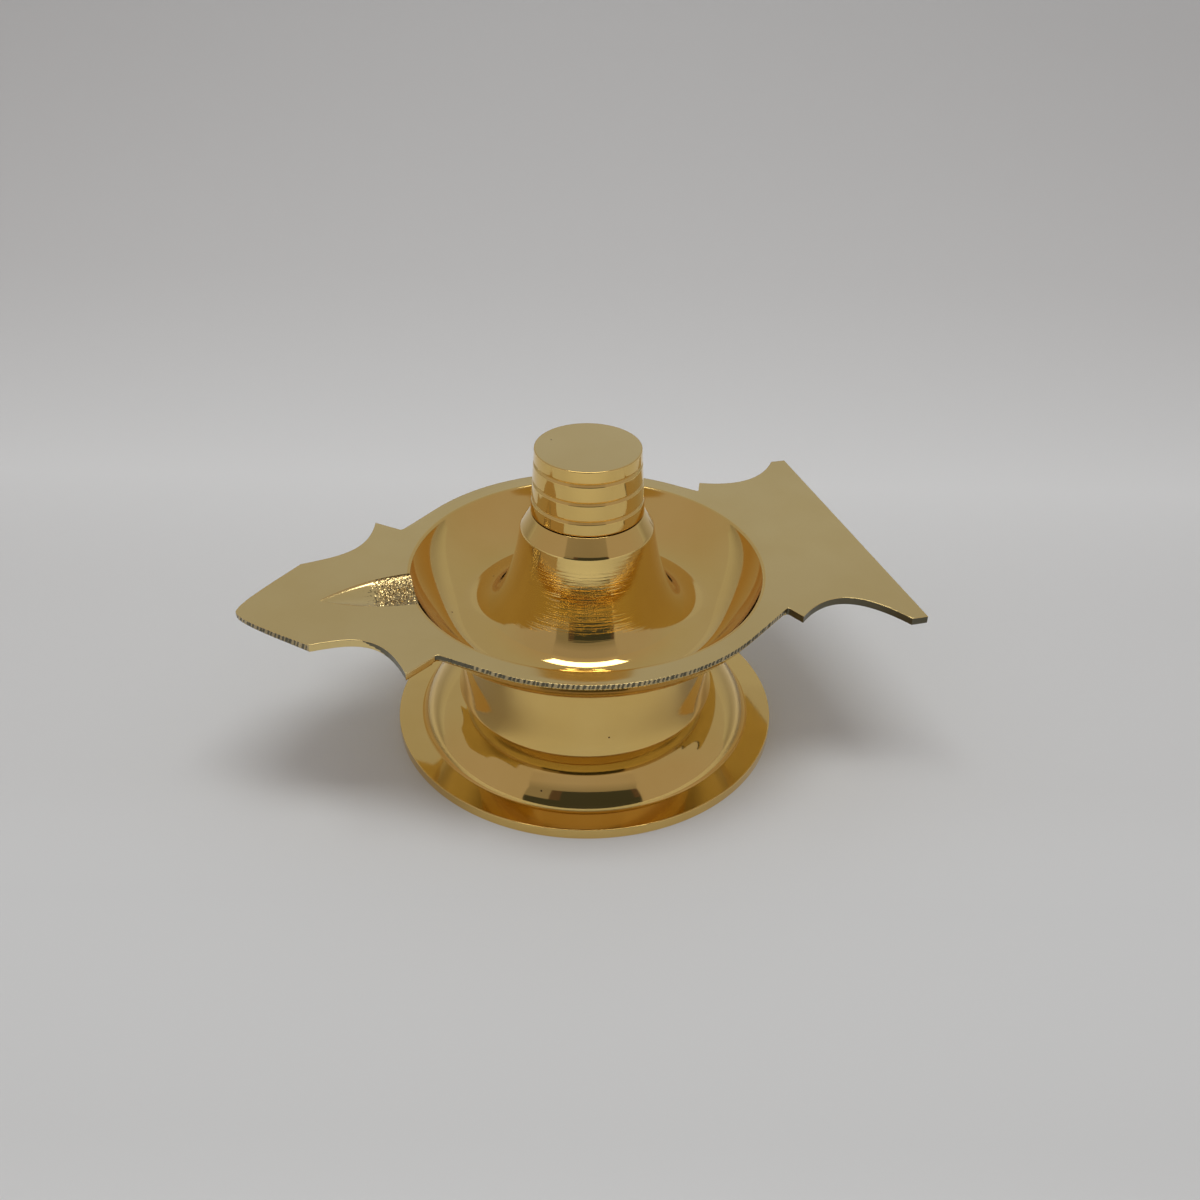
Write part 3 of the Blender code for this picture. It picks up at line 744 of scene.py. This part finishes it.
def pedestal(materials):
    underside = bowl_underside()
    lip_r = PAN_FOOT_R + CONTACT_GAP
    lip_in = (lip_r, height_on(underside, lip_r) - CONTACT_GAP)
    lip_out = (NECK_R, height_on(underside, NECK_R) - CONTACT_GAP)
    straight, flared = NECK_HANDLES
    neck_end = (NECK_FOOT_R, NECK_FOOT_Z + FOOT_GROOVE)
    neck_side = curve((lip_out, (NECK_R, lip_out[1] - straight),
                       (neck_end[0] - flared * sin(NECK_FOOT_LEAN),
                        neck_end[1] + flared * cos(NECK_FOOT_LEAN)), neck_end), CURVE_STEPS)
    neck_foot = (NECK_FOOT_R, NECK_FOOT_Z)
    dome_foot = (DOME_FOOT_R, DOME_FOOT_Z)
    edge_top = (BASE_R, BASE_EDGE_H)
    neck_groove = (NECK_FOOT_R - FOOT_GROOVE, NECK_FOOT_Z - FOOT_GROOVE / 2)
    dome_groove = (DOME_FOOT_R + FOOT_GROOVE, DOME_FOOT_Z - FOOT_GROOVE)
    groove_out = (DOME_FOOT_R + 2 * FOOT_GROOVE, DOME_FOOT_Z)
    hollow_low = (DOME_FOOT_R - PEDESTAL_WALL, 0.0)
    hollow_top = (NECK_FOOT_R - PEDESTAL_WALL, NECK_FOOT_Z - PEDESTAL_WALL)
    web_out = (NECK_R - PEDESTAL_WALL, WEB_UNDER_Z)
    profile = soften(lines((BORE_R, SEAT_Z), (lip_r, SEAT_Z), lip_in, lip_out)
                     + [neck_side]
                     + lines(neck_side[-1], neck_groove, neck_foot)
                     + [arc_between(neck_foot, dome_foot, -DOME_BULGE)]
                     + lines(dome_foot, dome_groove, groove_out, edge_top, (BASE_R, 0.0), hollow_low)
                     + [arc_between(hollow_low, hollow_top, DOME_BULGE)]
                     + lines(hollow_top, web_out, (BORE_R, WEB_UNDER_Z)),
                     [FINE_EDGE] * 3 + [GROOVE_EDGE] * 6 + [SOFT_EDGE, FINE_EDGE] + [SOFT_EDGE] * 3)
    bm = bmesh.new()
    rings = turn(bm, profile, TURNED_STEPS)
    join_rings(bm, rings[-1], rings[0])
    finish_piece("pedestal_casting", bm, materials, "pedestal", "base")


# Knob, stud, washers and nut

def thread_radius(angle, height, depth):
    """Radius of the stud's rounded right-hand thread."""
    phase = 2 * pi * height / THREAD_PITCH - angle
    return STUD_R - depth * (0.5 - 0.5 * cos(phase))


def thread_ring(bm, height, depth, growth=0.0, limit=STUD_R):
    """One ring of a thread's vertices."""
    ring = []
    for angle in angles_round(THREAD_STEPS):
        radius = min(thread_radius(angle, height, depth), limit) + growth
        ring.append(around(bm, radius, angle, height))
    return ring


def bridge(bm, ring_a, ring_b):
    """Band between two rings that may have unlike counts."""
    bmesh.ops.bridge_loops(bm, edges=ring_edges(bm, ring_a, ring_b))


def tapped_hole(bm, low, high):
    """Rings of a tapped hole from low to high, joined to each other."""
    count = ceil((high - low) / THREAD_PITCH * THREAD_RINGS)
    heights = [low + (high - low) * i / count for i in range(count + 1)]
    rings = [thread_ring(bm, height, THREAD_DEPTH, THREAD_CLEARANCE) for height in heights]
    tube(bm, rings)
    return rings


def centre_knob(materials):
    def side(height):
        return (KNOB_FOOT_R - KNOB_TAPER * (height - KNOB_Z) / (KNOB_TOP_Z - KNOB_Z), height)

    points = [(0.0, KNOB_TOP_Z), side(KNOB_TOP_Z)]
    edges = [SOFT_EDGE]
    for i in range(KNOB_GROOVES):
        top_z = KNOB_TOP_Z - KNOB_BAND_TOP_H - KNOB_BAND_PITCH * i
        top, bottom = side(top_z), side(top_z - KNOB_GROOVE_W)
        root = (top[0] - KNOB_GROOVE_DEPTH, top_z - KNOB_GROOVE_W / 2)
        points += [top, root, bottom]
        edges += [GROOVE_EDGE, GROOVE_EDGE, FINE_EDGE]
    counterbore_r = KNOB_FOOT_R - KNOB_SKIRT_W
    counterbore_z = KNOB_Z + KNOB_WASHER_T + CONTACT_GAP
    hole_r = STUD_R + THREAD_CLEARANCE
    points += [(KNOB_FOOT_R, KNOB_Z), (counterbore_r, KNOB_Z), (counterbore_r, counterbore_z),
               (hole_r + SOFT_EDGE, counterbore_z)]
    edges += [SOFT_EDGE, FINE_EDGE, FINE_EDGE]
    profile = soften(lines(*points), edges)
    slots = [FLAT if i < KNOB_FLAT_BANDS else TURNED for i in range(len(profile) - 1)]
    bm = bmesh.new()
    rings = turn(bm, profile, SMALL_STEPS, slots)
    hole = tapped_hole(bm, counterbore_z + FINE_EDGE, KNOB_TOP_Z - KNOB_CROWN_T)
    bridge(bm, rings[-1], hole[0])
    bm.faces.new(hole[-1])
    finish_piece("centre_knob_turned", bm, materials, "centre_knob", "knob")


def tie_stud(material):
    """Stud threaded at both ends, plain where it passes through web and cone."""
    low, high = STUD_LOW.z, STUD_HIGH.z
    shank = (WEB_UNDER_Z, CONE_TOP_Z - THREAD_PITCH)
    step = THREAD_PITCH / THREAD_RINGS
    count = ceil((high - low) / step)
    bm = bmesh.new()
    rings = []
    for i in range(count + 1):
        height = low + (high - low) * i / count
        into_thread = max(shank[0] - height, height - shank[1])
        if into_thread < -step:
            continue
        depth = THREAD_DEPTH * min(1.0, max(0.0, into_thread / THREAD_PITCH))
        end_r = STUD_R - max(0.0, STUD_CHAMFER - min(height - low, high - height))
        rings.append(thread_ring(bm, height, depth, limit=end_r))
    tube(bm, rings, capped=True)
    finish_piece("tie_stud_threaded", bm, [material], "tie_stud", "base")


def washer_profile(node):
    """Rounded section of a flat washer that fills its node's box, once round."""
    low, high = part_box(node)
    outer_r = high.y
    corners = [(BORE_R, high.z), (outer_r, high.z), (outer_r, low.z), (BORE_R, low.z)]
    middle = ((BORE_R + outer_r) / 2, high.z)
    loop = [middle] + corners[1:] + corners[:1] + [middle]
    return soften(lines(*loop), [SOFT_EDGE] * 4)[:-1]


def washer(node, body, material):
    bm = bmesh.new()
    rings = turn(bm, washer_profile(node), SMALL_STEPS)
    join_rings(bm, rings[-1], rings[0])
    finish_piece(node + "_turned", bm, [material], node, body)


def spring_washer(material):
    """Split ring whose ends are cut on a slant."""
    profile = washer_profile("spring_washer")
    low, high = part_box("spring_washer")
    middle_z = (low.z + high.z) / 2
    bm = bmesh.new()
    rings = []
    for i in range(SMALL_STEPS + 1):
        ring = []
        for radius, height in profile:
            gap = SPRING_SLIT / 2 / radius
            lean = (height - middle_z) / SPRING_SLANT / radius
            angle = gap + (2 * pi - 2 * gap) * i / SMALL_STEPS + lean
            ring.append(around(bm, radius, angle, height))
        rings.append(ring)
    tube(bm, rings, capped=True)
    finish_piece("spring_washer_split", bm, [material], "spring_washer", "base")


def hex_nut(material):
    """Hexagon nut with turned chamfers and a tapped hole."""
    low, high = NUT_LOW.z, NUT_HIGH.z
    face_r = NUT_ACROSS_FLATS / 2
    bm = bmesh.new()

    def hexagon(height, way):
        ring = []
        for angle in angles_round(NUT_STEPS):
            radius = face_r / cos((angle + pi / 6) % (pi / 3) - pi / 6)
            chamfer = NUT_CHAMFER / 4 + NUT_CHAMFER_SLOPE * max(0.0, radius - face_r)
            ring.append(around(bm, radius, angle, height + way * chamfer))
        return ring

    mouth_r = STUD_R + THREAD_CLEARANCE + SOFT_EDGE
    inner_face_r = face_r - NUT_CHAMFER
    rings = [circle(bm, mouth_r, high, NUT_STEPS), circle(bm, inner_face_r, high, NUT_STEPS),
             hexagon(high, -1), hexagon(low, 1),
             circle(bm, inner_face_r, low, NUT_STEPS), circle(bm, mouth_r, low, NUT_STEPS)]
    tube(bm, rings)
    hole = tapped_hole(bm, low + SOFT_EDGE, high - SOFT_EDGE)
    bridge(bm, rings[-1], hole[0])
    bridge(bm, rings[0], hole[-1])
    finish_piece("hex_nut_tapped", bm, [material], "hex_nut", "base")


# Finishes: a spread is the range of a texture's values over which its effect comes in

COAT_ROUGHNESS = 0.06
TONE_SCALE = 55.0
TONE_SPREAD = (0.35, 0.65)
PIT_SCALE = 160.0
PIT_SIZE = (0.02, 0.045)  # of a pit's floor and of its edge, beside the spacing of pits
PIT_COLOR = (0.10, 0.055, 0.02, 1.0)
PIT_ROUGHNESS = 0.4
PIT_STRENGTH = 0.25
PIT_DEPTH = 0.0001
GRAIN_SCALE = 2600.0
SMEAR_SCALE = 130.0
SMEAR_SPREAD = (0.3, 0.7)
SMEAR_SHARES = (0.75, 1.3)  # roughness of clean and of smeared brass, as shares of the finish's own
LATHE_SCALE = 1900.0
LATHE_DRIFT = 0.0006  # keeps a turning line from being the same all the way round
WEAR_SPREAD = (0.42, 0.58)
TURNED_LIGHT = (0.81, 0.565, 0.185)
TURNED_DEEP = (0.78, 0.530, 0.160)
FLAT_LIGHT = (0.81, 0.625, 0.270)
FLAT_DEEP = (0.78, 0.590, 0.240)
FASTENER_COLOR = (0.70, 0.55, 0.28)
STEEL_COLOR = (0.55, 0.55, 0.56)
DULL_SHARE = 0.8  # tone of a fastener's darker patches


def add_node(tree, kind, inputs=None, **settings):
    """A shader node. inputs holds plain values or sockets to link, by name or number."""
    node = tree.nodes.new("ShaderNode" + kind)
    for name, value in settings.items():
        setattr(node, name, value)
    for name, value in (inputs or {}).items():
        if isinstance(value, bpy.types.NodeSocket):
            tree.links.new(value, node.inputs[name])
        else:
            node.inputs[name].default_value = value
    return node


def math_node(tree, operation, first, second=0.0):
    return add_node(tree, "Math", {0: first, 1: second}, operation=operation).outputs[0]


def map_range(tree, value, from_low, from_high, to_low, to_high):
    inputs = {"Value": value, "From Min": from_low, "From Max": from_high,
              "To Min": to_low, "To Max": to_high}
    return add_node(tree, "MapRange", inputs).outputs["Result"]


def mix_color(tree, share, first, second):
    mix = add_node(tree, "Mix", {0: share, 6: first, 7: second}, data_type="RGBA")
    return mix.outputs[2]


def noise_node(tree, place, scale, detail, roughness=0.5):
    inputs = {"Vector": place, "Scale": scale, "Detail": detail, "Roughness": roughness}
    return add_node(tree, "TexNoise", inputs).outputs["Fac"]


def bump(tree, height, strength, distance, under=None, invert=False):
    """Normal of a bumpy surface, on top of the bumps that another one gives."""
    inputs = {"Height": height, "Strength": strength, "Distance": distance}
    if under is not None:
        inputs["Normal"] = under
    return add_node(tree, "Bump", inputs, invert=invert).outputs["Normal"]


def lathe_coordinates(tree, place):
    """Place on the lathe as radius, height and a slow drift about the axis, and the height alone."""
    x, y, z = add_node(tree, "SeparateXYZ", {0: place}).outputs
    flat = add_node(tree, "CombineXYZ", {0: x, 1: y}).outputs[0]
    radius = add_node(tree, "VectorMath", {0: flat}, operation="LENGTH").outputs["Value"]
    drift = math_node(tree, "MULTIPLY", math_node(tree, "ARCTAN2", y, x), LATHE_DRIFT)
    return add_node(tree, "CombineXYZ", {0: radius, 1: z, 2: drift}).outputs[0], z


def new_material(name):
    """A material and its node tree."""
    material = bpy.data.materials.new(name)
    material.use_nodes = True
    return material, material.node_tree


def brass(name, color, deep, roughness, grain, turning=0.0, patchy=0.0, pits=0.55,
          stretch=(1.0, 1.0, 1.0), coat=0.35, fades=(), mottled=False):
    """Polished brass with patches of tone, smeared gloss, pits, and turning lines or a fine grain."""
    material, tree = new_material(name)
    shader = tree.nodes["Principled BSDF"]
    shader.inputs["Metallic"].default_value = 1.0
    shader.inputs["Coat Weight"].default_value = coat
    shader.inputs["Coat Roughness"].default_value = COAT_ROUGHNESS
    place = add_node(tree, "TexCoord").outputs["Object"]
    tone = noise_node(tree, place, TONE_SCALE, 4.0)
    cells = add_node(tree, "TexVoronoi", {"Vector": place, "Scale": PIT_SCALE})
    spot = map_range(tree, cells.outputs["Distance"], *PIT_SIZE, 1.0, 0.0)
    lot = add_node(tree, "SeparateColor", {0: cells.outputs["Color"]}).outputs[0]
    pit = math_node(tree, "MULTIPLY", spot, math_node(tree, "GREATER_THAN", lot, pits))
    stretched = add_node(tree, "VectorMath", {0: place, 1: stretch}, operation="MULTIPLY")
    fine = noise_node(tree, stretched.outputs[0], GRAIN_SCALE, 2.0)
    deepened = map_range(tree, fine if mottled else tone, *TONE_SPREAD, 0.0, 1.0)
    toned = mix_color(tree, deepened, (*color, 1.0), (*deep, 1.0))
    tree.links.new(mix_color(tree, pit, toned, PIT_COLOR), shader.inputs["Base Color"])
    smear = noise_node(tree, place, SMEAR_SCALE, 6.0, 0.65)
    clean, smeared = (roughness * share for share in SMEAR_SHARES)
    gloss = map_range(tree, smear, *SMEAR_SPREAD, clean, smeared)
    dulled = math_node(tree, "ADD", gloss, math_node(tree, "MULTIPLY", pit, PIT_ROUGHNESS))
    tree.links.new(dulled, shader.inputs["Roughness"])
    normal = bump(tree, fine, 1.0, grain)
    if turning:
        lathe, height = lathe_coordinates(tree, place)
        worn = map_range(tree, tone, *WEAR_SPREAD, 1.0 - patchy, 1.0) if patchy else 1.0
        for start, end, least in fades:
            worn = math_node(tree, "MULTIPLY", worn, map_range(tree, height, start, end, least, 1.0))
        normal = bump(tree, noise_node(tree, lathe, LATHE_SCALE, 2.0, 0.6), worn, turning, normal)
    normal = bump(tree, pit, PIT_STRENGTH, PIT_DEPTH, normal, invert=True)
    tree.links.new(normal, shader.inputs["Normal"])
    return material


def plain_metal(name, color, roughness):
    """Unpolished turned metal of the fasteners, with faint machining lines."""
    dull = tuple(DULL_SHARE * channel for channel in color)
    return brass(name, color, dull, roughness, grain=1.2e-6, turning=2.5e-6, pits=0.9, coat=0.0)


def finishes():
    """The brass finishes of the castings, in the order of the material slots."""
    turned = brass("turned_brass", TURNED_LIGHT, TURNED_DEEP, 0.065, grain=3.0e-7, turning=1.2e-6)
    flat = brass("linished_brass", FLAT_LIGHT, FLAT_DEEP, 0.15, grain=1.2e-6, pits=0.8,
                 stretch=(0.12, 1.0, 1.0))
    edge = brass("filed_brass", (0.60, 0.47, 0.24), (0.36, 0.28, 0.15), 0.26, grain=4.0e-6,
                 stretch=(1.0, 1.0, 0.1))
    cast = brass("cast_brass", (0.86, 0.65, 0.28), (0.16, 0.11, 0.04), 0.14, grain=9.0e-5, mottled=True)
    dark = brass("tarnished_brass", (0.17, 0.15, 0.095), (0.11, 0.10, 0.065), 0.36, grain=4.0e-6,
                 coat=0.1)
    chatter = brass("chattered_brass", (0.80, 0.575, 0.195), (0.74, 0.52, 0.17), 0.07, grain=3.0e-7,
                    turning=5.0e-5, patchy=0.6,
                    fades=((*CHATTER_LOW, 0.12), (*CHATTER_HIGH[::-1], 0.30)))
    # brass under the pan: darker in colour and rougher than the turned brass
    under = brass("darker_underside_brass", (0.63, 0.455, 0.155), (0.57, 0.41, 0.135), 0.11, grain=1.0e-6,
                  turning=2.0e-6)
    return turned, flat, edge, cast, dark, chatter, under


# Studio: places in the photo's axes, with X to the right and Y away from the camera

PHOTO_PX = 1200
FOCAL_PX = 1286.4
SENSOR_W = 36.0
CAMERA_PITCH = radians(33.79)
CAMERA_ROLL = radians(1.15)
CAMERA_DISTANCE = 0.3073
CAMERA_CLIP = 0.01
LOOK_AT = Vector((0.00328, 0.0, 0.03329))
LAMP_TURN = radians(16.0)

SWEEP_START = 0.15
SWEEP_RADIUS = 0.30
SWEEP_H = 0.32
SWEEP_STEPS = 24
FLOOR_HALF_W = 1.6
FLOOR_FRONT = -1.2
FLOOR_COLOR = (0.775, 0.80, 0.795, 1.0)
FLOOR_ROUGHNESS = 0.55
# Distance behind the lamp, glow of the paper there, and share of that glow in what is seen of the paper.
# The glow is painted light: it lifts the lamp's shadow just in front of its base, brightens the floor
# further ahead that only the lamp mirrors, and grades the backdrop the camera sees from bright just
# behind the lamp to darker higher up.
GLOWS = ((-0.25, 1.0, 0.50), (-0.18, 0.86, 0.35), (-0.12, 0.60, 0.22), (-0.065, 0.54, 0.45),
         (-0.03, 0.60, 0.05), (0.05, 0.60, 0.05), (0.12, 0.72, 0.25), (0.26, 0.34, 0.25),
         (0.37, 0.27, 0.40), (0.45, 0.44, 1.0))
ROOM_FRONT = (0.42, 0.375, 0.37, 1.0)
ROOM_BACK = (0.41, 0.405, 0.41, 1.0)
ROOM_TURN = (-0.2, 0.6)  # how far backward the room's front colour ends and its back colour starts
STRIP_H = 0.60
STRIP_X = 0.19
STRIP_Y = (-0.09, 0.08)
STRIP_LIGHT = 5.8
FRONT_Y = -0.35
FRONT_X = 0.25
PANEL_COLOR = (0.39, 0.345, 0.34, 1.0)
PANEL_LOW_COLOR = (0.26, 0.235, 0.22, 1.0)
PANEL_TOP_COLOR = (0.54, 0.485, 0.475, 1.0)
PANEL_LOW_Z = 0.24
PANEL_LIT_Z = 0.45  # from here up, painted light brightens the panel towards the light strip
PANEL_SHADE_H = 0.10  # height over which the panel's low edge is darker, as painted shade
DARK_COLOR = (0.05, 0.053, 0.05, 1.0)
BROWN_COLOR = (0.095, 0.067, 0.06, 1.0)
OPENING_FOOT_Z = 0.001
DARK_LOW_H = 0.09
DARK_X = (-0.085, 0.215)
BROWN_X = (-0.13, 0.25)


def photo_axes():
    return Matrix.Translation(AXIS) @ Matrix.Rotation(-LAMP_TURN, 4, "Z")


def stage_mesh(name, vertices, faces, material):
    mesh = bpy.data.meshes.new(name)
    mesh.from_pydata(vertices, [], faces)
    mesh.materials.append(material)
    mesh.shade_smooth()
    thing = new_object(name, mesh)
    thing.matrix_world = photo_axes()
    return thing


def floor_sweep():
    """Pale floor that curves up into a backdrop."""
    section = [(FLOOR_FRONT, 0.0), (0.0, 0.0)]
    for i in range(SWEEP_STEPS + 1):
        angle = pi / 2 * i / SWEEP_STEPS
        back = SWEEP_START + SWEEP_RADIUS * sin(angle)
        section.append((back, SWEEP_RADIUS * (1 - cos(angle))))
    section.append((SWEEP_START + SWEEP_RADIUS, SWEEP_H))
    vertices = [(x, y, z) for y, z in section for x in (-FLOOR_HALF_W, FLOOR_HALF_W)]
    faces = [(2 * i, 2 * i + 1, 2 * i + 3, 2 * i + 2) for i in range(len(section) - 1)]
    stage_mesh("floor_sweep", vertices, faces, paper())


def paper():
    """Pale matt paper. For the camera and in reflections it glows a little, most of all far back, with
    painted light that varies along the floor and up the backdrop.
    """
    material, tree = new_material("floor_paper")
    shader = tree.nodes["Principled BSDF"]
    shader.inputs["Base Color"].default_value = FLOOR_COLOR
    shader.inputs["Roughness"].default_value = FLOOR_ROUGHNESS
    place = add_node(tree, "TexCoord").outputs["Object"]
    back = add_node(tree, "SeparateXYZ", {0: place}).outputs["Y"]
    near, far = GLOWS[0][0], GLOWS[-1][0]
    ramp = add_node(tree, "ValToRGB", {0: map_range(tree, back, near, far, 0.0, 1.0)})
    stops = ramp.color_ramp.elements
    for distance, _, _ in GLOWS[1:-1]:
        stops.new((distance - near) / (far - near))
    for stop, (_, level, share) in zip(stops, GLOWS):
        stop.color = (level, level, level, share)
    # painted light on the paper, seen by the camera and in reflections
    light = add_node(tree, "Emission", {"Color": ramp.outputs["Color"], "Strength": 1.0})
    path = add_node(tree, "LightPath").outputs
    seen = math_node(tree, "MAXIMUM", path["Is Camera Ray"], path["Is Glossy Ray"])
    seen = math_node(tree, "MAXIMUM", seen, path["Is Transmission Ray"])
    share = math_node(tree, "MULTIPLY", seen, ramp.outputs["Alpha"])
    mixed = add_node(tree, "MixShader", {0: share, 1: shader.outputs[0], 2: light.outputs[0]})
    tree.links.new(mixed.outputs[0], tree.nodes["Material Output"].inputs["Surface"])
    return material


def glow(name, color, strength=1.0):
    """Material that shines evenly."""
    material, tree = new_material(name)
    tree.nodes.clear()
    light = add_node(tree, "Emission", {"Color": color, "Strength": strength})
    add_node(tree, "OutputMaterial", {"Surface": light.outputs[0]})
    return material


def hidden_quad(name, corners, material):
    """Part of the studio that shows in the lamp, but not to the camera."""
    stage_mesh(name, corners, [(0, 1, 2, 3)], material).visible_camera = False


def light_strip():
    """Soft light right above the lamp."""
    front, back = STRIP_Y
    corners = [(-STRIP_X, front, STRIP_H), (STRIP_X, front, STRIP_H), (STRIP_X, back, STRIP_H),
               (-STRIP_X, back, STRIP_H)]
    hidden_quad("light_strip", corners, glow("strip_light", (1, 1, 1, 1), STRIP_LIGHT))


def front_panel():
    """Cloth that slopes from the light down to the top of the studio's opening. It glows in place of the
    light that falls on it: painted light near the strip and painted shade along its low edge.
    """
    front = STRIP_Y[0]
    corners = [(-STRIP_X, front, STRIP_H), (STRIP_X, front, STRIP_H), (FRONT_X, FRONT_Y, PANEL_LOW_Z),
               (-FRONT_X, FRONT_Y, PANEL_LOW_Z)]
    cloth = glow("panel_cloth", PANEL_COLOR)
    tree = cloth.node_tree
    place = add_node(tree, "TexCoord").outputs["Object"]
    height = add_node(tree, "SeparateXYZ", {0: place}).outputs["Z"]
    share = map_range(tree, height, PANEL_LOW_Z, PANEL_LOW_Z + PANEL_SHADE_H, 0.0, 1.0)
    shaded = mix_color(tree, share, PANEL_LOW_COLOR, PANEL_COLOR)
    lit = map_range(tree, height, PANEL_LIT_Z, STRIP_H, 0.0, 1.0)
    shaded = mix_color(tree, lit, shaded, PANEL_TOP_COLOR)
    tree.links.new(shaded, tree.nodes["Emission"].inputs["Color"])
    hidden_quad("front_panel", corners, cloth)


def front_opening():
    """The studio's opening, with the dark room behind it and the lighter cloth at its side."""
    upper = (DARK_LOW_H, PANEL_LOW_Z)
    parts = {"opening_low": (-FRONT_X, FRONT_X, OPENING_FOOT_Z, DARK_LOW_H, DARK_COLOR),
             "opening_dark": (*DARK_X, *upper, DARK_COLOR),
             "opening_left": (BROWN_X[0], DARK_X[0], *upper, BROWN_COLOR),
             "opening_right": (DARK_X[1], BROWN_X[1], *upper, BROWN_COLOR),
             # the cloth beside the opening glows with the panel's painted shade tone
             "opening_cloth": (-FRONT_X, BROWN_X[0], *upper, PANEL_LOW_COLOR)}
    for name, (left, right, low, high, color) in parts.items():
        places = ((left, low), (right, low), (right, high), (left, high))
        hidden_quad(name, [(x, FRONT_Y, z) for x, z in places], glow(name + "_tone", color))


def room():
    """Even light from all round, warmer in front of the lamp."""
    world = bpy.data.worlds.new("studio")
    bpy.context.scene.world = world
    world.use_nodes = True
    tree = world.node_tree
    direction = add_node(tree, "TexCoord").outputs["Generated"]
    backward = (sin(LAMP_TURN), cos(LAMP_TURN), 0.0)
    lean = add_node(tree, "VectorMath", {0: direction, 1: backward}, operation="DOT_PRODUCT")
    share = map_range(tree, lean.outputs["Value"], *ROOM_TURN, 0.0, 1.0)
    background = tree.nodes["Background"]
    tree.links.new(mix_color(tree, share, ROOM_FRONT, ROOM_BACK), background.inputs["Color"])
    background.inputs["Strength"].default_value = 1.0


def camera():
    data = bpy.data.cameras.new("photo_camera")
    data.sensor_width = SENSOR_W
    data.lens = FOCAL_PX / PHOTO_PX * SENSOR_W
    data.clip_start = CAMERA_CLIP
    forward = Vector((0.0, cos(CAMERA_PITCH), -sin(CAMERA_PITCH)))
    right = Vector((1.0, 0.0, 0.0))
    up = right.cross(forward)
    rolled_right = cos(CAMERA_ROLL) * right + sin(CAMERA_ROLL) * up
    rolled_up = cos(CAMERA_ROLL) * up - sin(CAMERA_ROLL) * right
    turn_matrix = Matrix((rolled_right, rolled_up, -forward)).transposed().to_4x4()
    eye = new_object("photo_camera", data)
    place = Matrix.Translation(LOOK_AT - CAMERA_DISTANCE * forward)
    eye.matrix_world = photo_axes() @ place @ turn_matrix
    bpy.context.scene.camera = eye


def main():
    brasses = finishes()
    fastener = plain_metal("fastener_brass", FASTENER_COLOR, 0.28)
    steel = plain_metal("spring_steel", STEEL_COLOR, 0.30)
    pedestal(brasses)
    oil_pan(brasses)
    centre_knob(brasses)
    tie_stud(fastener)
    washer("knob_washer", "knob_lift", fastener)
    washer("plain_washer", "base", fastener)
    spring_washer(steel)
    hex_nut(fastener)
    floor_sweep()
    light_strip()
    front_panel()
    front_opening()
    room()
    camera()
    bpy.context.scene.view_settings.view_transform = "Standard"


main()
bpy.context.view_layer.update()
